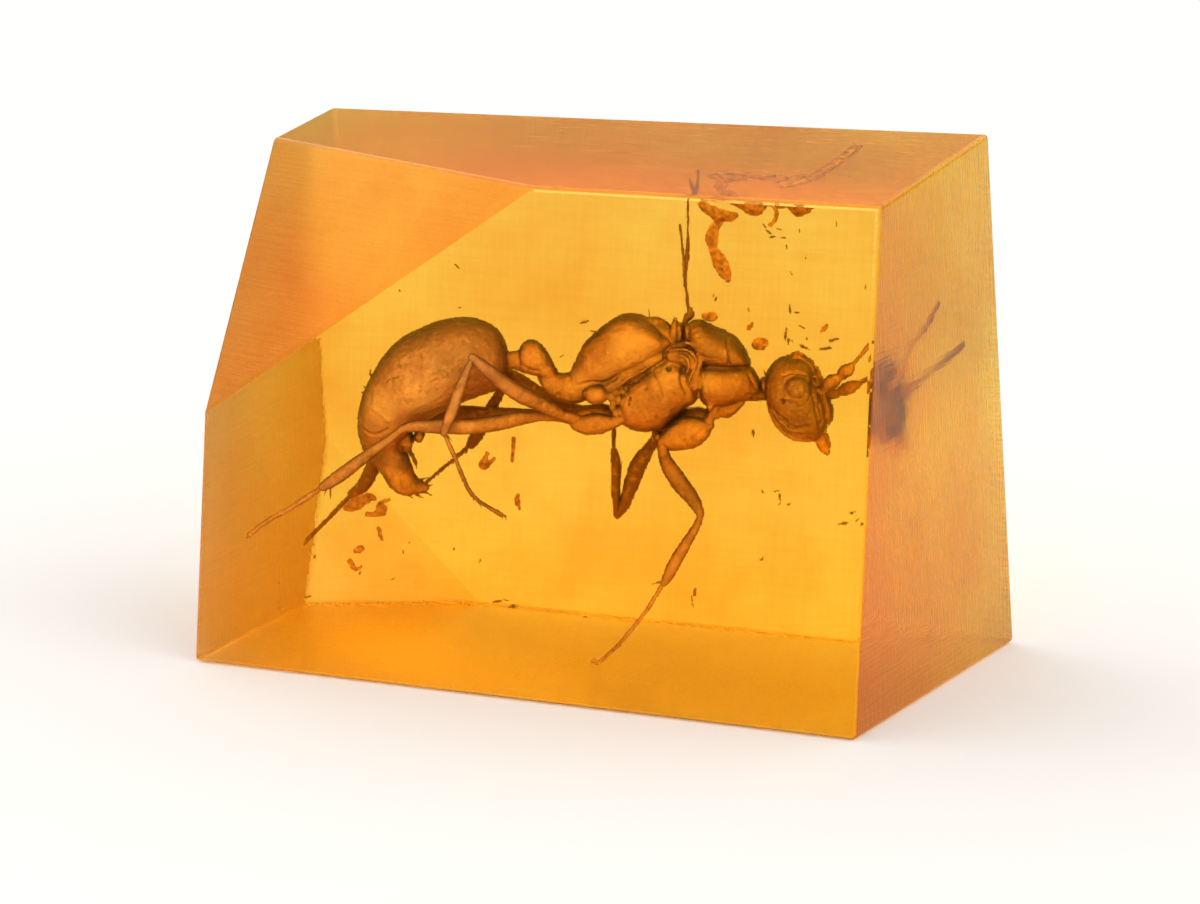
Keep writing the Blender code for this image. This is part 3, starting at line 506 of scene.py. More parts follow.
# Debris: each piece is one or more blades. A blade is its half thickness across the middle plane
# and a run of (along, up, half breadth) in that plane, or (along, aside, up, half breadth).
DEBRIS = {
    "hanging_flake": (
        (0.07, ((4.80, 9.50, 0.05), (4.95, 9.40, 0.11), (5.18, 9.29, 0.13),
                (5.42, 9.26, 0.12), (5.57, 9.31, 0.05))),
        (0.07, ((5.27, 9.20, 0.07), (5.12, 8.99, 0.11), (5.06, 8.80, 0.13),
                (5.12, 8.56, 0.10), (5.24, 8.34, 0.16), (5.36, 8.12, 0.14),
                (5.44, 7.95, 0.05))),
    ),
    "torn_crumb": (
        (0.08, ((4.98, 9.62, 0.03), (5.35, 9.60, 0.05), (5.62, 9.53, 0.11),
                (5.92, 9.45, 0.17), (6.12, 9.52, 0.06))),
    ),
    "hooked_thread": (
        (0.04, ((6.22, 9.54, 0.04), (6.34, 9.45, 0.04), (6.36, 9.31, 0.05),
                (6.31, 9.19, 0.04), (6.25, 9.12, 0.05))),
    ),
    "wedge_crumb": (
        (0.09, ((6.58, 9.55, 0.03), (6.78, 9.46, 0.14), (6.93, 9.48, 0.11),
                (7.11, 9.55, 0.03))),
    ),
    "twig": (
        (0.12, ((6.43, -0.80, 9.74, 0.10), (6.64, -0.69, 9.79, 0.11), (6.91, -0.45, 9.88, 0.12),
                (7.16, 0.06, 9.98, 0.13), (7.38, 0.64, 10.05, 0.13), (7.54, 1.12, 10.10, 0.15),
                (7.60, 1.38, 10.14, 0.12))),
    ),
    "pebble_left": (
        (0.10, ((4.92, 7.20, 0.05), (5.02, 7.18, 0.09), (5.15, 7.20, 0.10),
                (5.23, 7.20, 0.06))),
    ),
    "pebble_right": (
        (0.12, ((5.99, 6.64, 0.06), (6.07, 6.68, 0.12), (6.18, 6.70, 0.13),
                (6.25, 6.73, 0.07))),
    ),
    "tail_grain": (
        (0.11, ((-2.46, 2.74, 0.05), (-2.32, 2.80, 0.13), (-2.10, 2.93, 0.13),
                (-1.93, 3.00, 0.09), (-1.84, 2.99, 0.05))),
    ),
    "tail_flake": (
        (0.07, ((-2.02, 2.63, 0.04), (-1.84, 2.65, 0.07), (-1.70, 2.72, 0.12),
                (-1.62, 2.82, 0.07))),
        (0.05, ((-1.76, 2.80, 0.05), (-1.72, 2.90, 0.04), (-1.52, 2.98, 0.04))),
    ),
    "low_sliver": (
        (0.04, ((-1.75, 2.37, 0.04), (-1.71, 2.22, 0.05), (-1.66, 2.10, 0.03))),
    ),
    "low_grain": (
        (0.08, ((-2.24, 1.82, 0.05), (-2.17, 1.86, 0.08), (-2.10, 1.90, 0.06))),
    ),
    "low_hook": (
        (0.05, ((-2.36, 1.61, 0.06), (-2.28, 1.49, 0.06), (-2.21, 1.42, 0.04),
                (-2.10, 1.52, 0.03))),
    ),
    "forked_flake": (
        (0.06, ((0.55, 4.09, 0.05), (0.49, 3.95, 0.07), (0.45, 3.81, 0.09),
                (0.55, 3.84, 0.06), (0.70, 3.99, 0.03))),
    ),
    "upright_sliver": (
        (0.05, ((1.09, 4.44, 0.05), (1.08, 4.18, 0.04), (1.07, 3.94, 0.03))),
    ),
    "middle_flake": (
        (0.05, ((1.21, 3.27, 0.03), (1.19, 3.12, 0.06), (1.25, 2.94, 0.03))),
    ),
    "back_chip": (
        (0.05, ((5.95, 7.10, 0.04), (5.91, 7.03, 0.05), (5.87, 6.97, 0.03))),
    ),
    "head_chip": (
        (0.05, ((7.46, 7.14, 0.04), (7.41, 7.07, 0.05), (7.35, 7.00, 0.03))),
    ),
}

# Limbs: each is a row of segments from the body outwards, and a segment is a run of (along, aside,
# up, radius).
LEGS = {
    "middle_leg_right": (
        ((2.55, -0.32, 4.94, 0.10), (2.36, -0.38, 5.02, 0.13), (2.14, -0.44, 5.09, 0.10)),
        ((2.20, -0.42, 5.06, 0.09), (1.77, -0.60, 5.32, 0.15), (1.26, -0.85, 5.61, 0.18),
         (0.85, -1.02, 5.92, 0.155), (0.53, -1.15, 6.21, 0.125), (0.27, -1.20, 6.42, 0.09)),
        ((0.30, -1.20, 6.43, 0.06), (0.18, -1.20, 6.14, 0.08), (0.06, -1.20, 5.82, 0.11),
         (-0.05, -1.20, 5.50, 0.13), (-0.14, -1.20, 5.22, 0.125), (-0.24, -1.20, 4.95, 0.10),
         (-0.29, -1.20, 4.79, 0.075)),
        ((-0.28, -1.20, 4.80, 0.05), (-0.17, -1.17, 4.55, 0.058), (-0.05, -1.15, 4.29, 0.068)),
        ((-0.06, -1.15, 4.31, 0.05), (0.04, -1.12, 4.06, 0.055), (0.15, -1.10, 3.80, 0.065)),
        ((0.14, -1.10, 3.82, 0.05), (0.25, -1.08, 3.60, 0.058), (0.33, -1.07, 3.49, 0.065)),
        ((0.32, -1.07, 3.50, 0.05), (0.40, -1.06, 3.43, 0.055), (0.48, -1.05, 3.35, 0.065)),
        ((0.46, -1.05, 3.37, 0.05), (0.69, -1.02, 3.23, 0.055), (0.93, -1.00, 3.10, 0.068)),
    ),
    "hind_leg_right": (
        ((2.50, -0.30, 4.93, 0.10), (2.06, -0.24, 5.01, 0.11), (1.80, -0.28, 5.03, 0.12)),
        ((1.86, -0.27, 5.00, 0.09), (1.65, -0.30, 5.02, 0.11), (1.22, -0.45, 4.99, 0.15),
         (0.84, -0.55, 4.91, 0.165), (0.22, -0.72, 4.84, 0.17), (-0.40, -0.85, 4.84, 0.155),
         (-0.92, -0.93, 4.83, 0.12), (-1.17, -0.97, 4.78, 0.09)),
        ((-1.12, -0.97, 4.82, 0.07), (-1.54, -0.95, 4.46, 0.095), (-1.95, -0.92, 4.14, 0.115),
         (-2.39, -0.88, 3.77, 0.14), (-2.71, -0.85, 3.52, 0.125), (-2.88, -0.83, 3.40, 0.09)),
        ((-2.86, -0.83, 3.41, 0.06), (-3.10, -0.81, 3.23, 0.07), (-3.42, -0.79, 3.00, 0.075)),
        ((-3.40, -0.79, 3.01, 0.055), (-3.57, -0.78, 2.89, 0.06), (-3.78, -0.77, 2.77, 0.07)),
        ((-3.76, -0.77, 2.78, 0.05), (-3.92, -0.76, 2.68, 0.055), (-4.05, -0.75, 2.59, 0.065)),
        ((-4.03, -0.75, 2.60, 0.05), (-4.14, -0.74, 2.52, 0.052), (-4.24, -0.73, 2.44, 0.062)),
        ((-4.22, -0.73, 2.45, 0.045), (-4.34, -0.72, 2.35, 0.055), (-4.44, -0.71, 2.27, 0.065)),
    ),
    "middle_leg_left": (
        ((2.52, 0.36, 4.98, 0.12), (2.30, 0.38, 5.01, 0.12), (2.08, 0.43, 5.07, 0.10)),
        ((2.14, 0.42, 5.04, 0.09), (1.82, 0.50, 5.15, 0.12), (1.26, 0.62, 5.42, 0.15),
         (1.05, 0.67, 5.54, 0.13), (0.87, 0.72, 5.64, 0.09)),
        ((0.89, 0.72, 5.62, 0.06), (0.73, 0.74, 5.19, 0.10), (0.50, 0.76, 4.75, 0.13),
         (0.28, 0.78, 4.30, 0.15), (0.13, 0.78, 4.02, 0.10)),
        ((0.14, 0.78, 4.04, 0.05), (-0.05, 0.78, 3.86, 0.06), (-0.22, 0.78, 3.70, 0.06)),
        ((-0.20, 0.78, 3.72, 0.045), (-0.36, 0.77, 3.58, 0.05), (-0.52, 0.76, 3.44, 0.055)),
        ((-0.51, 0.76, 3.45, 0.04), (-0.66, 0.76, 3.31, 0.045), (-0.80, 0.75, 3.18, 0.055)),
    ),
    "hind_leg_left": (
        ((2.50, 0.30, 4.92, 0.10), (2.02, 0.40, 4.89, 0.11), (1.70, 0.46, 4.86, 0.10)),
        ((1.74, 0.45, 4.86, 0.09), (0.75, 0.60, 4.76, 0.15), (-0.21, 0.75, 4.69, 0.16),
         (-1.18, 0.85, 4.46, 0.14), (-1.50, 0.87, 4.30, 0.10)),
        ((-1.48, 0.87, 4.32, 0.08), (-1.65, 0.88, 4.17, 0.10), (-1.90, 0.85, 3.67, 0.13),
         (-2.00, 0.80, 3.31, 0.16), (-2.18, 0.78, 3.00, 0.14), (-2.42, 0.76, 2.82, 0.09)),
        ((-2.38, 0.76, 2.85, 0.06), (-2.63, 0.75, 2.57, 0.065), (-2.85, 0.74, 2.33, 0.065)),
        ((-2.83, 0.74, 2.35, 0.05), (-3.08, 0.73, 2.08, 0.055), (-3.34, 0.72, 1.80, 0.06)),
    ),
    "front_leg_left": (
        ((4.26, 0.30, 4.66, 0.10), (4.10, 0.28, 4.52, 0.13), (3.90, 0.31, 4.34, 0.11)),
        ((3.98, 0.30, 4.42, 0.10), (3.72, 0.36, 3.99, 0.17), (3.56, 0.42, 3.54, 0.16),
         (3.42, 0.46, 3.07, 0.12), (3.29, 0.50, 2.80, 0.07)),
        ((3.27, 0.50, 2.78, 0.07), (3.22, 0.56, 3.31, 0.10), (3.21, 0.60, 3.82, 0.11),
         (3.17, 0.62, 4.05, 0.09), (3.16, 0.62, 4.14, 0.06)),
        ((3.16, 0.62, 4.06, 0.04), (3.15, 0.62, 4.39, 0.055), (3.16, 0.62, 4.68, 0.05),
         (3.21, 0.60, 5.20, 0.045)),
    ),
    "front_leg_right": (
        ((4.23, -0.33, 4.71, 0.10), (4.22, -0.38, 4.50, 0.12), (4.26, -0.45, 4.36, 0.12)),
        ((4.24, -0.42, 4.42, 0.10), (4.34, -0.55, 4.22, 0.16), (4.61, -0.78, 3.92, 0.18),
         (4.87, -0.98, 3.68, 0.15), (5.03, -1.12, 3.47, 0.10), (5.06, -1.17, 3.34, 0.07)),
        ((5.06, -1.16, 3.40, 0.06), (5.00, -1.20, 3.19, 0.08), (4.77, -1.30, 2.79, 0.11),
         (4.58, -1.40, 2.45, 0.125), (4.45, -1.47, 2.17, 0.11), (4.36, -1.50, 2.02, 0.07)),
        ((4.37, -1.50, 2.04, 0.05), (4.20, -1.54, 1.74, 0.055), (4.05, -1.57, 1.48, 0.06)),
        ((4.06, -1.57, 1.50, 0.045), (3.90, -1.60, 1.26, 0.05), (3.80, -1.62, 1.13, 0.055)),
        ((3.81, -1.62, 1.14, 0.042), (3.66, -1.65, 0.95, 0.045), (3.53, -1.68, 0.78, 0.052)),
        ((3.54, -1.68, 0.79, 0.04), (3.38, -1.70, 0.62, 0.042), (3.23, -1.72, 0.48, 0.05)),
        ((3.24, -1.72, 0.49, 0.035), (3.13, -1.74, 0.38, 0.04), (3.04, -1.75, 0.33, 0.045),
         (2.95, -1.76, 0.40, 0.04)),
    ),
}
ANTENNAE = {
    "antenna_right": (
        ((7.28, -0.36, 5.86, 0.10), (7.40, -0.39, 5.88, 0.08), (7.46, -0.40, 5.94, 0.07)),
        ((7.42, -0.40, 5.90, 0.07), (7.52, -0.42, 6.02, 0.13), (7.62, -0.43, 6.10, 0.155),
         (7.72, -0.45, 6.18, 0.11), (7.78, -0.46, 6.22, 0.08)),
        ((7.74, -0.45, 6.18, 0.08), (7.84, -0.46, 6.30, 0.13), (7.93, -0.47, 6.38, 0.13),
         (8.00, -0.48, 6.46, 0.07)),
        ((7.98, -0.48, 6.43, 0.05), (8.15, -0.49, 6.66, 0.05), (8.33, -0.49, 6.90, 0.065)),
        ((8.31, -0.49, 6.88, 0.05), (8.55, -0.45, 7.05, 0.06), (8.79, -0.40, 7.20, 0.075)),
        ((8.77, -0.40, 7.19, 0.055), (8.92, -0.36, 7.32, 0.07), (9.05, -0.31, 7.45, 0.085)),
        ((9.03, -0.32, 7.43, 0.06), (9.16, -0.27, 7.58, 0.075), (9.27, -0.23, 7.70, 0.07)),
    ),
    "antenna_left": (
        ((7.26, 0.02, 5.72, 0.10), (7.40, 0.03, 5.69, 0.09), (7.52, 0.04, 5.68, 0.08)),
        ((7.48, 0.04, 5.68, 0.07), (7.62, 0.05, 5.70, 0.10), (7.75, 0.06, 5.75, 0.08)),
        ((7.72, 0.06, 5.73, 0.07), (7.84, 0.04, 5.81, 0.12), (7.97, 0.02, 5.88, 0.13),
         (8.10, 0.06, 5.94, 0.10), (8.16, 0.09, 5.96, 0.07)),
        ((8.13, 0.08, 5.95, 0.055), (8.31, 0.17, 6.03, 0.065), (8.50, 0.23, 6.11, 0.07)),
        ((8.48, 0.22, 6.10, 0.05), (8.68, 0.29, 6.18, 0.065), (8.87, 0.36, 6.26, 0.075)),
        ((8.85, 0.35, 6.25, 0.06), (9.04, 0.45, 6.33, 0.07), (9.23, 0.54, 6.40, 0.085)),
        ((9.21, 0.53, 6.39, 0.06), (9.44, 0.63, 6.50, 0.08), (9.64, 0.72, 6.60, 0.075)),
    ),
}
# Thin things that stand off the body: the raised front shin, its bristle and the tail's spine.
STALKS = {
    "raised_shin": (
        ((4.68, 0.06, 6.40, 0.10), (4.58, 0.14, 6.62, 0.07), (4.54, 0.20, 6.83, 0.06),
         (4.58, 0.24, 7.02, 0.07), (4.66, 0.27, 7.14, 0.09), (4.66, 0.30, 7.24, 0.06)),
        ((4.64, 0.29, 7.20, 0.05), (4.60, 0.30, 7.43, 0.045), (4.56, 0.30, 7.78, 0.035),
         (4.555, 0.30, 8.10, 0.045)),
        ((4.55, 0.30, 8.06, 0.04), (4.57, 0.30, 8.35, 0.06), (4.575, 0.30, 8.60, 0.04),
         (4.57, 0.30, 8.87, 0.03), (4.55, 0.30, 9.50, 0.03)),
    ),
    "raised_bristle": (
        ((4.54, 0.30, 7.70, 0.035), (4.49, 0.27, 8.36, 0.035), (4.41, 0.25, 8.97, 0.03)),
    ),
    "tail_spine": (
        ((-1.25, 0.00, 4.24, 0.06), (-1.12, -0.02, 4.08, 0.07), (-1.02, -0.04, 3.92, 0.055),
         (-0.96, -0.05, 3.80, 0.05)),
    ),
}


def from_ant(along, aside, up):
    """A point in the ant's own directions, in metres from the part's origin."""
    flat = ANT_TURN @ Vector((along, aside, 0.0))
    return (ANT_ORIGIN + flat + Vector((0.0, 0.0, up))) * MM


# --- Shaping ---

RING_STEPS = 5  # loops from one ring of a table to the next
CAP_TURNS = (0.55, 1.05)  # radians round a rounded end, where its two loops lie
RING_SWELL, TUBE_SWELL = 0.5, 0.9  # how far an end bulges, as a share of its radius
LEAST_HALF, LEAST_RADIUS = 0.01, 0.004
RELAX = 0.5  # how far each smoothing of a remeshed skin goes
GRAIN_STEPS = (7.31, 3.17, 5.53)  # how far apart the noise of two seeds lies


def unit(vector):
    return vector / max(np.linalg.norm(vector), TINY)


def circle(sides):
    """The angles of a ring's points."""
    return np.arange(sides) * math.tau / sides


def spline(rows, steps):
    """Rows of numbers, with steps - 1 smooth rows put between each two."""
    rows = np.array(rows, float)
    padded = np.vstack((2 * rows[0] - rows[1], rows, 2 * rows[-1] - rows[-2]))
    out = []
    for i in range(1, len(padded) - 2):
        a, b, c, d = padded[i - 1 : i + 3]
        for t in np.arange(steps) / steps:
            out.append(0.5 * (2 * b + (c - a) * t + (2 * a - 5 * b + 4 * c - d) * t * t
                              + (3 * b - a - 3 * c + d) * t ** 3))
    out.append(rows[-1])
    return np.array(out)


class Shell:
    """Points and faces of one mesh, gathered piece by piece in the ant's own directions."""

    def __init__(self):
        self.points, self.faces = [], []

    def skin(self, loops, first_tip, last_tip):
        """A closed skin over a row of loops of points, with a tip at either end."""
        start, sides = len(self.points), len(loops[0])
        for loop in loops:
            self.points += [tuple(p) for p in loop]
        for i in range(len(loops) - 1):
            a = start + i * sides
            for k in range(sides):
                n = (k + 1) % sides
                self.faces.append((a + k, a + n, a + sides + n, a + sides + k))
        for tip, row, turn in ((first_tip, 0, -1), (last_tip, len(loops) - 1, 1)):
            point = len(self.points)
            self.points.append(tuple(tip))
            a = start + row * sides
            for k in range(sides):
                face = (a + k, a + (k + 1) % sides, point)
                self.faces.append(face[::turn])

    def rounded(self, loops, swell):
        """A skin over loops, closed by two shrinking loops and a tip at either end."""
        middle = [np.mean(loop, axis=0) for loop in loops]
        caps = []
        for end, inward in ((0, 1), (-1, -2)):
            out = unit(middle[end] - middle[inward])
            reach = swell * np.mean([np.linalg.norm(p - middle[end]) for p in loops[end]])
            ring = [
                [middle[end] + (p - middle[end]) * math.cos(t) + out * reach * math.sin(t)
                 for p in loops[end]]
                for t in CAP_TURNS
            ]
            caps.append((ring, middle[end] + out * reach))
        (first, first_tip), (last, last_tip) = caps
        self.skin([*first[::-1], *loops, *last], first_tip, last_tip)

    def rings(self, table, offset, sides):
        """A trunk piece: elliptical rings about a plane at this offset from the middle plane."""
        loops = []
        for top_along, top_up, low_along, low_up, half in spline(table, RING_STEPS):
            centre = np.array(((top_along + low_along) / 2, offset, (top_up + low_up) / 2))
            reach = np.array(((top_along - low_along) / 2, 0.0, (top_up - low_up) / 2))
            across = np.array((0.0, max(half, LEAST_HALF), 0.0))
            loops.append([
                centre + reach * math.cos(t) + across * math.sin(t) for t in circle(sides)
            ])
        self.rounded(loops, RING_SWELL)

    def tube(self, run, sides, steps, squeeze=1.0):
        """A limb's segment along a run of (along, aside, up, radius). squeeze narrows it."""
        rows = spline(run, steps)
        places, radii = rows[:, :3], np.maximum(rows[:, 3], LEAST_RADIUS)
        side = np.cross(unit(places[1] - places[0]), (0.0, 1.0, 0.0))
        loops = []
        for i, place in enumerate(places):
            ahead = unit(places[min(i + 1, len(places) - 1)] - places[max(i - 1, 0)])
            side = unit(side - ahead * np.dot(side, ahead))
            thick = np.cross(ahead, side) * squeeze
            loops.append([
                place + radii[i] * (side * math.cos(t) + thick * math.sin(t))
                for t in circle(sides)
            ])
        self.rounded(loops, TUBE_SWELL)

    def spike(self, places, radii, sides, steps):
        """A thin tube through a few places, with its radius at each."""
        self.tube([(*place, radius) for place, radius in zip(places, radii)], sides, steps)

    def build(self, name, material):
        mesh = bpy.data.meshes.new(name)
        mesh.from_pydata([from_ant(*p) for p in self.points], [], self.faces)
        edit = bmesh.new()
        edit.from_mesh(mesh)
        bmesh.ops.recalc_face_normals(edit, faces=edit.faces)
        edit.to_mesh(mesh)
        edit.free()
        mesh.shade_smooth()
        mesh.materials.append(material)
        return add_to_scene(name, mesh)


def remesh(obj, voxel, smooth):
    """The overlapping closed pieces of a mesh become one skin with softened creases."""
    step = obj.modifiers.new("remesh", "REMESH")
    step.mode = "VOXEL"
    step.voxel_size = voxel * MM
    relax = obj.modifiers.new("relax", "SMOOTH")
    relax.factor = RELAX
    relax.iterations = smooth
    made = bpy.data.meshes.new_from_object(
        obj.evaluated_get(bpy.context.evaluated_depsgraph_get())
    )
    old = obj.data
    obj.modifiers.clear()
    obj.data = made
    made.name = obj.name
    bpy.data.meshes.remove(old)
    made.shade_smooth()


def ant_space(mesh):
    """Points and outward directions of a mesh, in the ant's own directions."""
    points, normals = np.empty(len(mesh.vertices) * 3), np.empty(len(mesh.vertices) * 3)
    mesh.vertices.foreach_get("co", points)
    mesh.vertices.foreach_get("normal", normals)
    back = np.array(ANT_TURN.transposed())
    points = (points.reshape(-1, 3) / MM - np.array(ANT_ORIGIN)) @ back.T
    return points, normals.reshape(-1, 3) @ back.T


def set_ant_space(mesh, points):
    moved = (points @ np.array(ANT_TURN).T + np.array(ANT_ORIGIN)) * MM
    mesh.vertices.foreach_set("co", moved.ravel())
    mesh.update()


def distance_to_line(points, line):
    """Distance in the middle plane from each point to a line through (along, up) places."""
    flat = points[:, (0, 2)]
    best = np.full(len(flat), np.inf)
    for a, b in zip(line, line[1:]):
        a, b = np.array(a), np.array(b)
        run = b - a
        t = np.clip(((flat - a) @ run) / max(run @ run, TINY), 0, 1)
        best = np.minimum(best, np.linalg.norm(flat - (a + t[:, None] * run), axis=1))
    return best


def grain(points, size, seed):
    """A smooth random value from about -1 to 1 at each point, with features of this size."""
    shift = Vector([seed * step for step in GRAIN_STEPS])
    return np.array([noise.noise(Vector(p) / size + shift) for p in points])


def grains(points, rows):
    """The sum of several grains, each its height, its size and its seed."""
    return sum(height * grain(points, size, seed) for height, size, seed in rows)


def roughen(obj, rows):
    points, normals = ant_space(obj.data)
    set_ant_space(obj.data, points + normals * grains(points, rows)[:, None])


# --- The trunk ---

# Marks cut into both sides of the trunk: a line of (along, up), half width, depth, and the least
# distance off the middle plane that it reaches. A negative depth is a raised ridge.
GROOVES = (
    (((-2.11, 4.58), (-1.99, 4.52), (-1.84, 4.49), (-1.69, 4.54), (-1.52, 4.65)),
     0.035, 0.030, 0.0),
    (((-2.07, 5.14), (-1.90, 5.09), (-1.69, 5.02), (-1.50, 4.86)), 0.050, -0.025, 0.0),
    (((-1.28, 5.54), (-1.19, 5.46), (-1.17, 5.35), (-1.08, 5.23)), 0.020, 0.026, 0.4),
    (((-0.56, 5.76), (-0.48, 5.82), (-0.37, 5.81), (-0.27, 5.88)), 0.025, 0.018, 0.4),
    (((-0.62, 5.88), (-0.50, 5.91), (-0.35, 5.89)), 0.020, 0.014, 0.4),
    (((-1.59, 5.66), (-1.46, 5.77), (-1.30, 5.82)), 0.025, 0.025, 0.4),
    (((-0.88, 6.28), (-0.81, 6.15), (-0.85, 6.00)), 0.030, 0.022, 0.4),
    (((-1.30, 6.05), (-1.05, 6.12), (-0.80, 6.32)), 0.040, 0.014, 0.4),
    (((6.70, 5.78), (6.79, 5.72), (6.91, 5.74), (6.95, 5.66)), 0.020, 0.020, 0.4),
    (((6.62, 6.20), (6.76, 6.27), (6.92, 6.28), (7.10, 6.24)), 0.018, 0.030, 0.4),
    (((6.42, 5.52), (6.55, 5.41), (6.72, 5.32)), 0.035, 0.050, 0.3),
    (((6.78, 5.22), (6.95, 5.15), (7.15, 5.22)), 0.045, 0.060, 0.3),
    (((6.60, 5.20), (6.78, 5.05), (7.01, 5.00), (7.25, 5.02)), 0.035, 0.050, 0.2),
    (((7.23, 6.11), (7.26, 5.87), (7.32, 5.69), (7.35, 5.45), (7.42, 5.21)), 0.030, 0.060, 0.2),
    (((7.33, 5.95), (7.39, 5.60), (7.46, 5.25)), 0.020, 0.030, 0.1),
    (((5.38, 6.99), (5.45, 6.87), (5.49, 6.71), (5.52, 6.54), (5.52, 6.38)), 0.022, 0.055, 0.1),
    (((5.19, 6.99), (5.35, 6.92), (5.43, 6.88)), 0.022, 0.025, 0.1),
    (((4.98, 6.52), (5.14, 6.48), (5.28, 6.50)), 0.025, 0.018, 0.3),
    (((3.88, 6.17), (3.97, 6.09), (4.07, 5.95), (4.14, 5.81), (4.20, 5.67)), 0.024, 0.035, 0.4),
    (((3.30, 5.66), (3.42, 5.80), (3.60, 5.95), (3.72, 6.05)), 0.035, 0.030, 0.4),
    (((4.60, 6.22), (4.56, 6.05), (4.62, 5.88), (4.70, 5.74)), 0.040, 0.040, 0.3),
    (((5.90, 5.72), (6.02, 5.70), (6.14, 5.68)), 0.030, 0.020, 0.1),
    (((5.93, 6.10), (6.00, 5.98), (6.06, 5.86)), 0.030, 0.025, 0.1),
    (((1.30, 6.02), (1.46, 5.96), (1.62, 5.95)), 0.030, 0.020, 0.1),
    (((2.40, 5.72), (2.70, 5.82), (2.98, 5.80), (3.20, 5.92)), 0.040, 0.030, 0.3),
)
# Pits in both sides of the trunk: (along, up), radius and depth.
PITS = (
    ((4.29, 6.22), 0.045, 0.110), ((3.83, 5.81), 0.035, 0.030), ((3.51, 5.56), 0.030, 0.050),
    ((3.49, 5.45), 0.028, 0.045), ((3.44, 5.69), 0.026, 0.035), ((3.68, 5.43), 0.030, 0.025),
    ((3.66, 5.90), 0.028, 0.025), ((3.92, 5.59), 0.024, 0.020), ((6.64, 5.74), 0.045, 0.070),
    ((2.23, 5.62), 0.040, 0.025), ((2.02, 5.48), 0.045, 0.030), ((3.36, 5.58), 0.024, 0.035),
    ((4.98, 6.26), 0.040, 0.050), ((6.02, 5.62), 0.035, 0.030), ((-1.05, 5.95), 0.030, 0.014),
    ((-0.72, 6.05), 0.026, 0.014), ((-0.95, 5.70), 0.030, 0.012), ((-1.35, 5.35), 0.028, 0.012),
    ((0.05, 6.55), 0.030, 0.010), ((-0.30, 6.38), 0.026, 0.012), ((3.75, 6.05), 0.020, 0.020),
)
# Small raised knobs on both sides: (along, aside, up) and radius.
KNOBS = (
    ((7.50, -0.16, 5.00), 0.06), ((5.30, -0.24, 5.26), 0.09), ((5.72, -0.12, 5.48), 0.07),
    ((5.52, -0.18, 5.22), 0.05), ((4.10, -0.30, 4.72), 0.07), ((4.00, -0.20, 4.66), 0.06),
    ((3.14, -0.42, 5.52), 0.09), ((3.16, -0.46, 5.34), 0.08), ((3.24, -0.44, 5.20), 0.09),
    ((3.30, -0.40, 5.06), 0.08), ((3.28, -0.48, 5.50), 0.08), ((4.88, -0.36, 5.98), 0.08),
    ((3.26, -0.34, 5.66), 0.13), ((3.18, -0.28, 5.50), 0.14),
    ((5.16, -0.46, 5.46), 0.07), ((-1.16, -0.14, 4.26), 0.16), ((-0.90, -0.08, 4.40), 0.12),
)
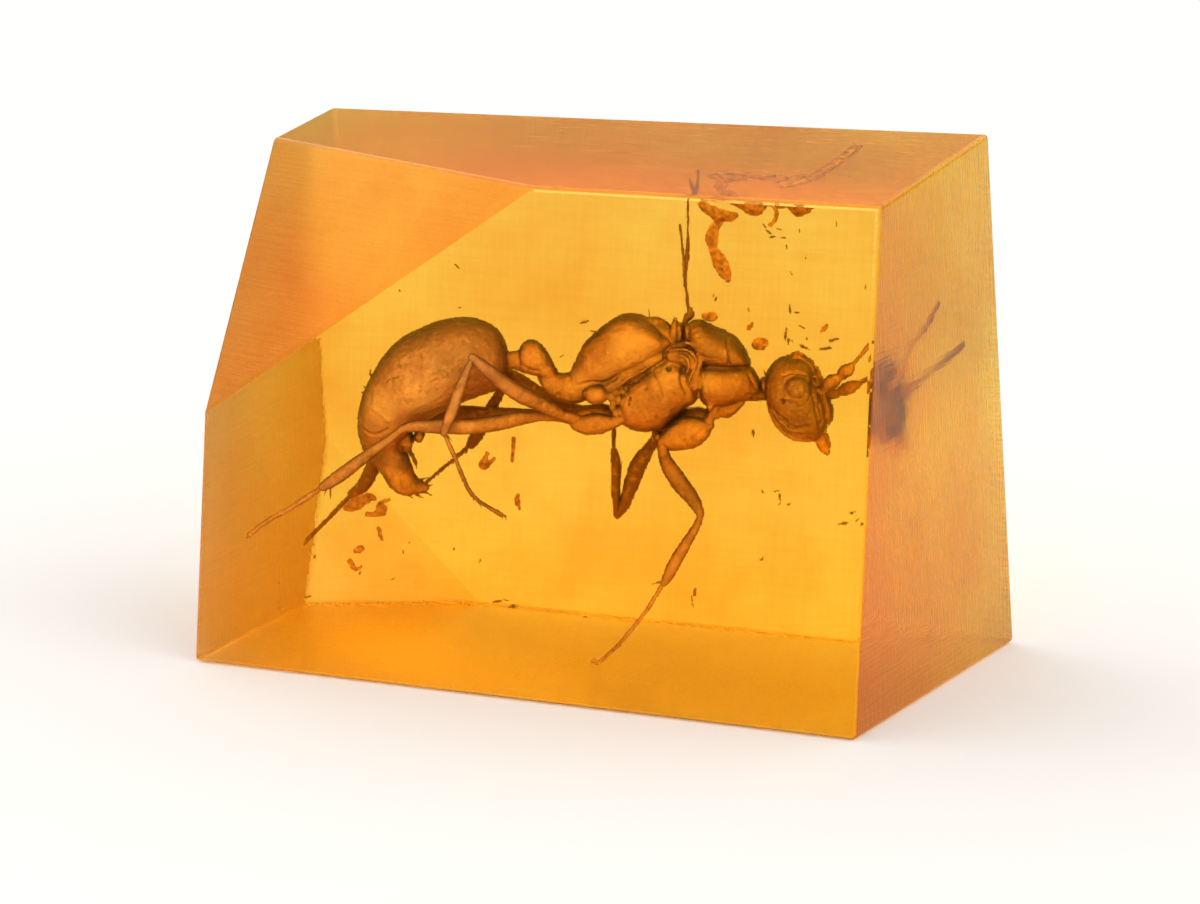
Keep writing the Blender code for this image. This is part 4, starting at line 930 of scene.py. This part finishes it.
# Thin plates and folds on both sides: runs of (along, aside, up, radius).
PLATES = (
    ((4.28, -0.44, 6.56, 0.030), (4.46, -0.50, 6.61, 0.030), (4.62, -0.54, 6.63, 0.035),
     (4.76, -0.55, 6.57, 0.035), (4.85, -0.56, 6.44, 0.035), (4.83, -0.58, 6.28, 0.030),
     (4.76, -0.60, 6.12, 0.030), (4.73, -0.60, 5.97, 0.025)),
    ((4.46, -0.56, 6.52, 0.025), (4.60, -0.60, 6.51, 0.030), (4.69, -0.61, 6.42, 0.030),
     (4.71, -0.63, 6.30, 0.030), (4.66, -0.64, 6.17, 0.025)),
    ((4.60, -0.40, 6.74, 0.025), (4.76, -0.45, 6.70, 0.030), (4.90, -0.48, 6.58, 0.030),
     (4.95, -0.52, 6.42, 0.030), (4.93, -0.54, 6.26, 0.030), (4.90, -0.55, 6.10, 0.025)),
    ((4.35, -0.32, 6.44, 0.15), (4.58, -0.36, 6.44, 0.19), (4.76, -0.38, 6.34, 0.20),
     (4.82, -0.40, 6.12, 0.18), (4.82, -0.38, 5.88, 0.14)),
    ((2.95, -0.24, 5.62, 0.12), (3.20, -0.30, 5.80, 0.13), (3.50, -0.33, 6.00, 0.13),
     (3.80, -0.34, 6.20, 0.11), (4.10, -0.34, 6.40, 0.09)),
    ((3.24, -0.50, 5.74, 0.03), (3.44, -0.54, 5.95, 0.03), (3.66, -0.55, 6.08, 0.03),
     (3.90, -0.52, 6.24, 0.025)),
    ((4.36, -0.18, 6.60, 0.07), (4.36, -0.20, 6.84, 0.09), (4.37, -0.17, 7.06, 0.05)),
    ((4.47, -0.12, 6.60, 0.07), (4.47, -0.15, 6.82, 0.07), (4.46, -0.12, 6.98, 0.05)),
    ((4.60, -0.20, 6.60, 0.05), (4.65, -0.20, 6.78, 0.05), (4.62, -0.12, 6.96, 0.03)),
    ((6.36, -0.42, 5.56, 0.05), (6.49, -0.49, 5.27, 0.06), (6.70, -0.51, 5.04, 0.065),
     (6.95, -0.50, 4.92, 0.070), (7.21, -0.45, 4.90, 0.060), (7.38, -0.40, 4.98, 0.050)),
    ((6.45, -0.63, 5.52, 0.04), (6.60, -0.67, 5.32, 0.05), (6.81, -0.69, 5.17, 0.055),
     (7.01, -0.65, 5.12, 0.050), (7.17, -0.57, 5.19, 0.045)),
    ((6.74, -0.10, 6.42, 0.04), (6.86, -0.12, 6.49, 0.055), (6.94, -0.13, 6.49, 0.045),
     (7.03, -0.14, 6.42, 0.04), (7.14, -0.15, 6.35, 0.055), (7.22, -0.19, 6.22, 0.04)),
    ((7.26, -0.34, 6.16, 0.05), (7.36, -0.34, 5.98, 0.05), (7.47, -0.33, 5.73, 0.05),
     (7.55, -0.30, 5.45, 0.05), (7.58, -0.26, 5.20, 0.045)),
    ((5.30, -0.26, 5.46, 0.10), (5.22, -0.30, 5.30, 0.09), (5.14, -0.34, 5.12, 0.10)),
)

# The trunk's three pieces: the rings on the middle plane, the paired rings with how far each one
# of the pair stands off that plane, the plates and knobs between two places along the ant, and
# the fineness of the skin.
TRUNK_PIECES = {
    "ant_gaster": ((GASTER,), (), (-3.0, 0.9), 0.024),
    "ant_trunk": (
        (WAIST_NODE, WAIST_STALK, HUMP, BACK_PLATE, PRONOTUM, NECK_SHIELD, SIDE_PLATE, THROAT_LOBE),
        ((HIND_COXA, 0.36), (FRONT_COXA, 0.34), (HIP_KNOB, 0.38)), (0.9, 6.2), 0.0235,
    ),
    "ant_head": ((HEAD,), ((JAW, 0.26),), (6.2, 8.0), 0.018),
}
MIDDLE_SIDES, PAIR_SIDES, PLATE_SIDES, PLATE_STEPS = 40, 28, 12, 4
KNOB_SHORT = 0.7  # a knob's upper and lower place and their radius, as a share of its radius
TRUNK_RELAX = 3  # smoothings
EYE_PLACE, EYE_REACH = (6.92, 0.63, 5.95), (0.27, 0.24, 0.27)
EYE_RINGS, EYE_SIDES, EYE_END = 17, 36, 0.12  # the last is the first ring's angle, in radians
SOCKET_REACH, SOCKET_WIDTH, SOCKET_DEPTH = 0.29, 0.03, 0.012
SIDEWAYS = 2.2  # how quickly marks come in as the skin turns to face aside
# The skin's unevenness: how far it stands out, its size and its seed.
TRUNK_GRAIN, EYE_GRAIN = ((0.008, 0.45, 1), (0.007, 0.16, 2)), ((0.006, 0.12, 5),)
FINE_GRAIN, RAGGED_GRAIN = (0.10, 3), (0.12, 4)  # size and seed
FINE_HEIGHT, ROUGH_HEIGHT = 0.005, 0.010  # on the whole trunk, and more on the gaster's back
ROUGH_PLACE, ROUGH_REACH = (-0.7, 5.9), (0.9, 0.5)  # the reach is squared
# Where the skin is ragged, and how far that stands out: the collar, the tail and under the head.
COLLAR, COLLAR_REACH, COLLAR_FOOT, COLLAR_HEIGHT = 4.75, 0.45, 5.8, 0.022
TAIL, TAIL_TOP, TAIL_RISE, TAIL_HEIGHT = -1.0, 4.3, 1.2, 0.018
CHEEK, CHEEK_TOP, CHEEK_RISE, CHEEK_HEIGHT = 6.3, 5.35, 3, 0.014


def trunk_shell(middle_rings, paired_rings, first, last):
    """Rings, knobs and plates as overlapping closed pieces."""
    shell = Shell()
    for rings in middle_rings:
        shell.rings(rings, 0.0, MIDDLE_SIDES)
    for rings, offset in paired_rings:
        for sign in (-1, 1):
            shell.rings(rings, sign * offset, PAIR_SIDES)
    knobs = []
    for (along, aside, up), radius in KNOBS:
        less = radius * KNOB_SHORT
        knobs.append(((along, aside, up - less, less), (along, aside, up, radius),
                      (along, aside, up + less, less)))
    for run in (*knobs, *PLATES):
        if first <= run[0][0] < last:
            for sign in (1, -1):
                shell.tube([(a, sign * s, u, r) for a, s, u, r in run], PLATE_SIDES, PLATE_STEPS)
    return shell


def marks(points, normals):
    """How far the grooves, the pits and the eyes' sockets push the skin out at each point."""
    sideways = np.clip(np.abs(normals[:, 1]) * SIDEWAYS, 0, 1)
    push = np.zeros(len(points))
    for line, width, depth, least in GROOVES:
        near = distance_to_line(points, line)
        reach = sideways * (np.abs(points[:, 1]) >= least)
        push -= depth * np.exp(-((near / width) ** 2)) * reach
    for place, radius, depth in PITS:
        near = distance_to_line(points, (place, place))
        push -= depth * np.exp(-((near / radius) ** 4)) * sideways
    flat = points - np.array(EYE_PLACE)
    ring = np.hypot(flat[:, 0], flat[:, 2]) - SOCKET_REACH
    return push - SOCKET_DEPTH * np.exp(-((ring / SOCKET_WIDTH) ** 2)) * sideways


def roughness(points):
    """How far the fine grain stands out at each point."""
    (along, up), (length, height) = ROUGH_PLACE, ROUGH_REACH
    far = (points[:, 0] - along) ** 2 / length + (points[:, 2] - up) ** 2 / height
    return FINE_HEIGHT + np.exp(-far) * ROUGH_HEIGHT


def raggedness(points):
    """How far the skin's ragged places stand out at each point."""
    along, up = points[:, 0], points[:, 2]
    collar = np.clip(1 - np.abs(along - COLLAR) / COLLAR_REACH, 0, 1) * (up > COLLAR_FOOT)
    tail = np.clip((TAIL - along + (TAIL_TOP - up)) * TAIL_RISE, 0, 1) * (up < TAIL_TOP)
    cheek = np.clip((CHEEK_TOP - up) * CHEEK_RISE, 0, 1) * (along > CHEEK)
    return collar * COLLAR_HEIGHT + tail * TAIL_HEIGHT + cheek * CHEEK_HEIGHT


def add_trunk_piece(name, skin):
    middle_rings, paired_rings, (first, last), fine = TRUNK_PIECES[name]
    piece = trunk_shell(middle_rings, paired_rings, first, last).build(name, skin)
    remesh(piece, fine, TRUNK_RELAX)
    points, normals = ant_space(piece.data)
    push = marks(points, normals)
    push += grains(points, TRUNK_GRAIN)
    push += roughness(points) * grain(points, *FINE_GRAIN)
    push += raggedness(points) * grain(points, *RAGGED_GRAIN)
    set_ant_space(piece.data, points + normals * push[:, None])
    return piece


def add_eyes(skin):
    shell = Shell()
    along, aside, up = EYE_PLACE
    for sign in (-1, 1):
        place = np.array((along, sign * aside, up))
        across = np.array((0.0, sign * EYE_REACH[1], 0.0))
        loops = []
        for turn in np.linspace(EYE_END, math.pi - EYE_END, EYE_RINGS):
            centre = place + across * math.cos(turn)
            loops.append([
                centre + math.sin(turn) * np.array((EYE_REACH[0] * math.cos(t), 0.0,
                                                    EYE_REACH[2] * math.sin(t)))
                for t in circle(EYE_SIDES)
            ])
        shell.skin(loops, place + across, place - across)
    eyes = shell.build("ant_eyes", skin)
    roughen(eyes, EYE_GRAIN)
    return eyes


# --- The ant's limbs ---

LIMB_SIDES, LIMB_STEPS, LIMB_SQUEEZE = 14, 5, 0.9
SLIM_BELOW, SLIM = 0.078, 0.78  # a thinner segment is a foot's. It keeps this share of its radius
HAIR_BACK, HAIR_LONG = 0.03, 0.07  # a foot's hair starts so far before its segment's end
HAIR_ASIDE, HAIR_DOWN = 0.05, 0.07
HAIR_RADII, SPINE_SHARES = (0.016, 0.012, 0.005), (1.0, 0.7, 0.25)  # at root, middle and tip
CLAW, CLAW_SHARES = 0.11, (0.20, 0.15, 0.05)  # a claw's size, and its radii as shares of it
CLAW_SPREAD, CLAW_REACH, CLAW_AHEAD, CLAW_HOOK = 0.6, 0.6, 0.3, 0.5
LIMB_GRAIN = ((0.006, 0.12, 6), (0.004, 0.05, 7))

# Where the claws spring from, on each foot that shows them.
FEET = {
    "middle_leg_right": (0.97, -1.00, 3.09), "hind_leg_right": (-4.46, -0.71, 2.26),
    "middle_leg_left": (-0.83, 0.75, 3.16), "hind_leg_left": (-3.36, 0.72, 1.78),
    "front_leg_right": (3.00, -1.75, 0.35),
}
# Spurs and bristles: root, tip, and radius at the root.
SPINES = (
    ((-2.70, -0.85, 3.44), (-2.70, -0.88, 3.16), 0.030),
    ((-2.78, -0.84, 3.40), (-2.84, -0.80, 3.22), 0.022),
    ((4.40, -1.50, 2.08), (4.13, -1.54, 2.00), 0.030),
    ((-0.27, -1.20, 4.82), (-0.12, -1.22, 4.66), 0.022),
    ((0.14, 0.78, 4.10), (0.02, 0.80, 3.82), 0.025),
    ((-2.36, 0.76, 2.86), (-2.38, 0.74, 2.62), 0.025),
    ((3.85, 0.00, 7.06), (3.83, -0.02, 7.31), 0.014),
    ((4.36, -0.10, 7.00), (4.36, -0.12, 7.20), 0.022),
    ((4.40, -0.12, 7.00), (4.42, -0.14, 7.12), 0.018),
    ((2.80, -0.10, 6.78), (2.62, -0.14, 6.82), 0.020),
    ((-1.95, 0.00, 5.60), (-1.99, 0.00, 5.66), 0.030),
    ((-2.10, 0.00, 5.20), (-2.15, 0.00, 5.24), 0.024),
    ((-2.18, 0.00, 4.66), (-2.24, 0.00, 4.68), 0.026),
    ((-2.06, 0.00, 5.32), (-2.11, 0.02, 5.36), 0.020),
    ((6.25, 0.00, 6.05), (6.21, 0.00, 6.16), 0.022),
    ((-1.12, 0.00, 3.10), (-1.02, 0.02, 3.04), 0.026),
    ((-0.95, 0.00, 3.12), (-0.80, 0.00, 3.06), 0.028),
    ((-0.80, -0.04, 3.20), (-0.60, -0.05, 3.14), 0.028),
    ((-0.78, 0.04, 3.30), (-0.60, 0.05, 3.34), 0.026),
    ((-0.85, 0.02, 3.44), (-0.70, 0.02, 3.50), 0.024),
)


def limb_shell(limbs):
    shell = Shell()
    for segments in limbs.values():
        for run in segments:
            slim = SLIM if max(row[3] for row in run) < SLIM_BELOW else 1.0
            shell.tube([(*row[:3], row[3] * slim) for row in run],
                       LIMB_SIDES, LIMB_STEPS, LIMB_SQUEEZE)
            if slim < 1.0:
                add_hairs(shell, np.array(run[-1][:3]), np.array(run[0][:3]))
    return shell


def add_hairs(shell, end, start):
    """Two short hairs at the end of a foot's segment."""
    ahead = unit(end - start)
    root = end - ahead * HAIR_BACK
    for side in (-1, 1):
        tip = root + ahead * HAIR_LONG + np.array((0.0, side * HAIR_ASIDE, -HAIR_DOWN))
        shell.spike((root, (root + tip) / 2, tip), HAIR_RADII, sides=6, steps=2)


def add_claws(shell, tip, back):
    """Two hooked claws at a foot's tip."""
    ahead = unit(tip - back)
    for sign in (-1, 1):
        out = unit(np.array((0.0, sign * CLAW_SPREAD, 0.0)) + ahead)
        bend = tip + out * CLAW * CLAW_REACH
        end = bend + (ahead * CLAW_AHEAD + np.array((0.0, 0.0, -1.0))) * CLAW * CLAW_HOOK
        shell.spike((tip, bend, end), [CLAW * share for share in CLAW_SHARES], sides=8, steps=4)


def add_spine(shell, root, tip, radius):
    shell.spike((root, (root + tip) / 2, tip), [radius * share for share in SPINE_SHARES],
                sides=8, steps=3)


# --- The ant ---

# Spots of darker chitin, partly darker pigment and partly painted shade: a place (along, up), its
# reach, and how much darker it is there. Where the last is below zero, the spot is a painted
# highlight, paler instead.
PIGMENT_SHADE_AND_HIGHLIGHT_SPOTS = (
    ((7.0, 5.7), 0.95, 0.68), ((6.15, 5.66), 0.22, 0.50), ((4.55, 6.80), 0.30, 0.45),
    ((4.08, 7.10), 0.36, 1.00), ((5.40, 6.66), 0.75, 0.60), ((-1.09, 3.90), 0.34, 0.90),
    ((-0.84, 3.50), 0.24, 0.90), ((-1.80, 4.00), 0.40, 0.70), ((-1.66, 3.40), 0.26, 0.50),
    ((3.30, 5.86), 0.30, 0.60), ((3.72, 6.12), 0.26, 0.60), ((3.20, 5.60), 0.26, 0.60),
    ((0.95, 6.10), 0.20, 0.40), ((2.60, 5.60), 0.25, 0.25), ((3.22, 5.35), 0.22, 0.40),
    ((3.56, 6.48), 0.60, -0.85), ((3.14, 6.08), 0.40, -0.55), ((-1.64, 5.15), 0.45, -0.55),
    ((-0.72, 5.48), 0.55, -0.50), ((4.21, 6.14), 0.40, -0.60), ((5.05, 6.00), 0.34, -0.60),
    ((1.68, 6.34), 0.26, -0.55), ((2.45, 5.77), 0.34, -0.60), ((4.80, 6.15), 0.25, 0.30),
    ((-0.20, 6.50), 1.20, 0.42), ((0.45, 3.60), 1.10, 0.75), ((4.75, 3.60), 0.95, 0.60),
    ((-1.60, 6.30), 0.55, 0.40),
)
SPOT_RISE = 1.6  # how quickly a spot comes in from its edge, so that its middle is level
LIMB_LEAST_DARKENING = {"ant_legs": 0.10, "ant_antennae": 0.45, "ant_bristles": 0.60}  # how much darker each is at the least
FAR_SIDE, FAR_SIDE_SHADE = 0.05, 0.92  # further off the middle plane than this, on the limbs' far side, the least is this: painted shade


def set_pigment_shade_and_highlight(obj, near_side, far_side):
    """Stores at each point how much darker the chitin is, with darker pigment and painted shade,
    and the least that it is on either side; painted highlights are stored below zero.
    """
    points, _ = ant_space(obj.data)
    dusk, painted_highlight = np.where(points[:, 1] > FAR_SIDE, far_side, near_side), np.zeros(len(points))
    for (along, up), reach, much in PIGMENT_SHADE_AND_HIGHLIGHT_SPOTS:
        far = np.hypot(points[:, 0] - along, points[:, 2] - up)
        here = much * np.clip(SPOT_RISE - SPOT_RISE * far / reach, 0, 1)
        dusk, painted_highlight = np.maximum(dusk, here), np.minimum(painted_highlight, here)
    layer = obj.data.attributes.new("dusk", "FLOAT", "POINT")
    layer.data.foreach_set("value", (dusk + painted_highlight).astype(np.float32))


def add_ant():
    skin = chitin_material()
    trunk = [add_trunk_piece(name, skin) for name in TRUNK_PIECES]
    trunk.append(add_eyes(skin))
    legs, stalks = limb_shell(LEGS), limb_shell(STALKS)
    for leg, tip in FEET.items():
        last_segment = LEGS[leg][-1]
        add_claws(legs, np.array(tip), np.array(last_segment[1][:3]))
    for root, tip, radius in SPINES:
        add_spine(stalks, np.array(root), np.array(tip), radius)
    limbs = [legs.build("ant_legs", skin), limb_shell(ANTENNAE).build("ant_antennae", skin)]
    for limb in limbs:
        roughen(limb, LIMB_GRAIN)
    limbs.append(stalks.build("ant_bristles", skin))
    for piece in trunk:
        set_pigment_shade_and_highlight(piece, 0.0, 0.0)
    for piece in limbs:
        set_pigment_shade_and_highlight(piece, LIMB_LEAST_DARKENING[piece.name], FAR_SIDE_SHADE)
    for piece in trunk + limbs:
        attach(piece, "root")
    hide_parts("ant")


# --- Debris and dust ---

BLUNT = 0.42  # the least breadth of a scrap's ends, as a share of its widest
PEBBLE_BLUNT, PEBBLE_SHORT = 0.85, 0.55  # a pebble's ends, and how far its run is drawn together
SCRAP_SIDES, SCRAP_STEPS, SCRAP_FINE, SCRAP_RELAX = 16, 4, 0.022, 1
# Two grains: how far each stands out as a share of the breadth, its size, and its first seed.
CRUMBLE, BROADEST = ((0.14, 0.11, 10), (0.09, 0.045, 30)), 0.14


def blunted(run, pebble):
    """A blade's run with blunter ends. A pebble's is drawn together as well."""
    least = (PEBBLE_BLUNT if pebble else BLUNT) * max(row[3] for row in run)
    short = PEBBLE_SHORT if pebble else 1.0
    middle = np.mean([row[:3] for row in run], axis=0)
    return [[*(middle + short * (row[:3] - middle)), max(row[3], least)] for row in run]


def add_debris():
    """Every scrap of debris again, with crumbled faces and edges."""
    bark = debris_material()
    for count, (name, blades) in enumerate(DEBRIS.items()):
        shell, breadths = Shell(), []
        for half, run in blades:
            if len(run[0]) == 3:
                run = [(along, 0.0, up, breadth) for along, up, breadth in run]
            breadths.append(max(row[3] for row in run))
            shell.tube(blunted(run, name.startswith("pebble")),
                       SCRAP_SIDES, SCRAP_STEPS, half / breadths[-1])
        scrap = shell.build(f"{name}_scrap", bark)
        remesh(scrap, SCRAP_FINE, SCRAP_RELAX)
        size = min(BROADEST, max(breadths))
        roughen(scrap, [(size * share, fine, seed + count) for share, fine, seed in CRUMBLE])
        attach(scrap, "root")
        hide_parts(name)


# Specks of dust in the resin: (along, up) in the ant's middle plane, half length and lean from
# upright in degrees.
SPECKS = (
    (-3.15, 1.90, 0.05, -20), (-3.15, 1.55, 0.06, 15), (-3.85, 1.10, 0.05, 80),
    (-3.30, 0.65, 0.08, 70), (-3.85, 0.45, 0.07, 85), (-1.20, 1.90, 0.05, 0),
    (-1.12, 1.95, 0.04, 40), (-1.40, 1.35, 0.05, 60), (-2.15, 1.30, 0.05, 30),
    (-0.15, 1.95, 0.04, 0), (0.45, 1.85, 0.05, 10), (2.65, 0.60, 0.05, 90),
    (4.95, 1.45, 0.09, 5), (4.90, 1.25, 0.07, -5), (4.90, 1.00, 0.06, 0), (6.05, 4.90, 0.09, 0),
    (5.85, 7.30, 0.05, 0), (6.70, 7.40, 0.08, -10), (6.85, 7.40, 0.05, 90), (6.62, 6.78, 0.10, 0),
    (6.70, 6.82, 0.07, 5), (6.65, 6.97, 0.04, -30), (6.94, 7.00, 0.07, -60),
    (7.06, 6.90, 0.04, 0), (7.60, 6.74, 0.11, 70), (7.45, 6.66, 0.12, 80), (7.02, 6.68, 0.11, -65),
    (6.77, 6.64, 0.04, -30), (5.20, 7.62, 0.05, 10), (5.13, 7.55, 0.04, 20),
    (6.83, 8.98, 0.04, 0), (6.60, 8.74, 0.05, 0), (7.56, 9.10, 0.06, -10), (6.98, 8.52, 0.03, 0),
    (6.70, 8.14, 0.04, -30), (8.20, 7.86, 0.05, -20), (6.28, 3.70, 0.06, -25),
    (6.30, 2.10, 0.05, 40), (-0.10, 7.10, 0.05, 80), (-0.15, 8.00, 0.06, -50),
    (-1.40, 7.30, 0.03, 0), (2.07, 6.27, 0.05, 60), (-1.98, 5.64, 0.04, 0), (6.55, 3.58, 0.06, 70),
    (6.65, 3.48, 0.05, 20), (6.62, 3.40, 0.07, -10), (6.84, 3.42, 0.04, 60),
    (7.94, 3.06, 0.10, 75), (8.11, 3.17, 0.07, 60), (8.23, 3.22, 0.05, 50),
    (6.12, 9.02, 0.06, -40), (6.20, 8.95, 0.07, -60), (6.30, 8.92, 0.06, 80),
    (6.42, 8.93, 0.06, -75), (6.52, 8.91, 0.05, 90), (0.80, 0.90, 0.09, 80),
    (0.98, 0.88, 0.07, 100), (1.15, 0.93, 0.10, 80), (2.48, 6.85, 0.09, 70),
)
SPECK_ASIDE, SPECK_SCATTER, SPECK_TURN = 0.1, 0.35, 2.4  # off the middle plane, by a sine
SPECK_THIN, SPECK_BREADTH = 0.015, 0.30  # the least radius, and its share of the half length
SPECK_STOPS, SPECK_TAPER = (-1.0, -0.3, 0.4, 1.0), 0.6  # places along it, and how far it thins
SPECK_GRAIN = ((0.014, 0.05, 60),)


def add_specks():
    """Dust: small rough grains and splinters, scattered a little about the ant's plane."""
    shell = Shell()
    for count, (along, up, half, lean) in enumerate(SPECKS):
        aside = SPECK_ASIDE + SPECK_SCATTER * math.sin(SPECK_TURN * count)
        angle = math.radians(lean)
        step = half * np.array((math.sin(angle), 0.0, math.cos(angle)))
        thick = max(SPECK_THIN, SPECK_BREADTH * half)
        places = [np.array((along, aside, up)) + step * t for t in SPECK_STOPS]
        radii = [thick * (1.0 - SPECK_TAPER * t * t) for t in SPECK_STOPS]
        shell.spike(places, radii, sides=10, steps=3)
    specks = shell.build("dust_specks", dust_material())
    roughen(specks, SPECK_GRAIN)
    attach(specks, "root")


# --- Stage ---

LAMP_WAY, LAMP_FAR, LAMP_RADIUS = Vector((0.15, -0.72, 0.68)), 0.25, 0.16  # metres
LAMP_AIM = Vector((0.0, 0.0, 5.0))  # the block's middle
LAMP_LIGHT = 5.9  # radiance, where the floor's white is 1
# The studio's sky: the sine of an elevation, and how bright it is there.
SKY = ((0.0, 0.095), (0.38, 0.095), (0.55, 2.18), (0.76, 2.18), (1.0, 1.06))
SKY_SCALE = 2.5  # keeps the ramp's colours under 1
SKY_MIDDLE, SKY_SIDES = 0.45, 1.85  # how much of that light stands ahead and to either side
SKY_FRONT, SKY_BEHIND = 0.85, 1.15  # and how much before and behind the block, going by y
FLOOR_HALF, FLOOR_DROP = 3.0, 0.00002  # metres
WHITE = (1.0, 1.0, 1.0, 1.0)


def add_lamp():
    """A large soft front light. It is linked to every piece, and leaves the floor alone."""
    data = bpy.data.lights.new("front_light", "AREA")
    data.shape = "DISK"
    data.size = 2 * LAMP_RADIUS
    data.energy = LAMP_LIGHT * math.pi * math.pi * LAMP_RADIUS ** 2
    lamp = add_to_scene("front_light", data)
    way = LAMP_WAY.normalized()
    lamp.location = way * LAMP_FAR + LAMP_AIM * MM
    lamp.rotation_euler = way.to_track_quat("Z", "Y").to_euler()
    lamp.visible_camera = False
    lit = bpy.data.collections.new("lit by the front light")
    for obj in bpy.data.objects:
        if obj.type == "MESH":
            lit.objects.link(obj)
    lamp.light_linking.receiver_collection = lit


def add_floor():
    mesh = bpy.data.meshes.new("floor")
    edit = bmesh.new()
    bmesh.ops.create_grid(edit, x_segments=1, y_segments=1, size=FLOOR_HALF)
    edit.to_mesh(mesh)
    edit.free()
    mesh.materials.append(paper_material())
    floor = add_to_scene("floor", mesh)
    floor.location.z = -FLOOR_DROP


def set_world():
    """A studio sky with a bright band for every ray but the camera's own, which see white."""
    world = bpy.data.worlds.new("studio")
    studio = Nodes(world)
    way = studio.add("SeparateXYZ", {0: studio.add("TexCoord", {}).outputs["Generated"]}).outputs
    height = studio.add("ValToRGB", {"Fac": way["Z"]})
    ramp = height.color_ramp
    ramp.interpolation = "EASE"
    for place, _ in SKY[1:-1]:
        ramp.elements.new(place)
    for stop, (place, light) in zip(ramp.elements, SKY):
        stop.position = place
        stop.color = (*[light / SKY_SCALE] * 3, 1.0)
    depth = studio.span(way["Y"], -1.0, 1.0, SKY_SCALE * SKY_FRONT, SKY_SCALE * SKY_BEHIND)
    sides = studio.span(studio.times(way["X"], way["X"]), 0.0, 1.0, SKY_MIDDLE, SKY_SIDES)
    strength = studio.times(studio.times(height.outputs["Color"], depth), sides)
    sky, seen = studio.nodes["Background"], studio.add("Background", {"Color": WHITE})
    studio.put(sky, "Color", WHITE)
    studio.put(sky, "Strength", strength)
    camera_ray = studio.add("LightPath", {}).outputs["Is Camera Ray"]
    choose = studio.add("MixShader", {0: camera_ray, 1: sky.outputs[0], 2: seen.outputs[0]})
    studio.put(studio.nodes["World Output"], "Surface", choose.outputs[0])
    bpy.context.scene.world = world


add_camera()
add_block()
add_ant()
add_debris()
add_specks()
add_lamp()
add_floor()
set_world()
bpy.context.scene.view_settings.view_transform = "Standard"
bpy.context.scene.view_settings.look = "None"
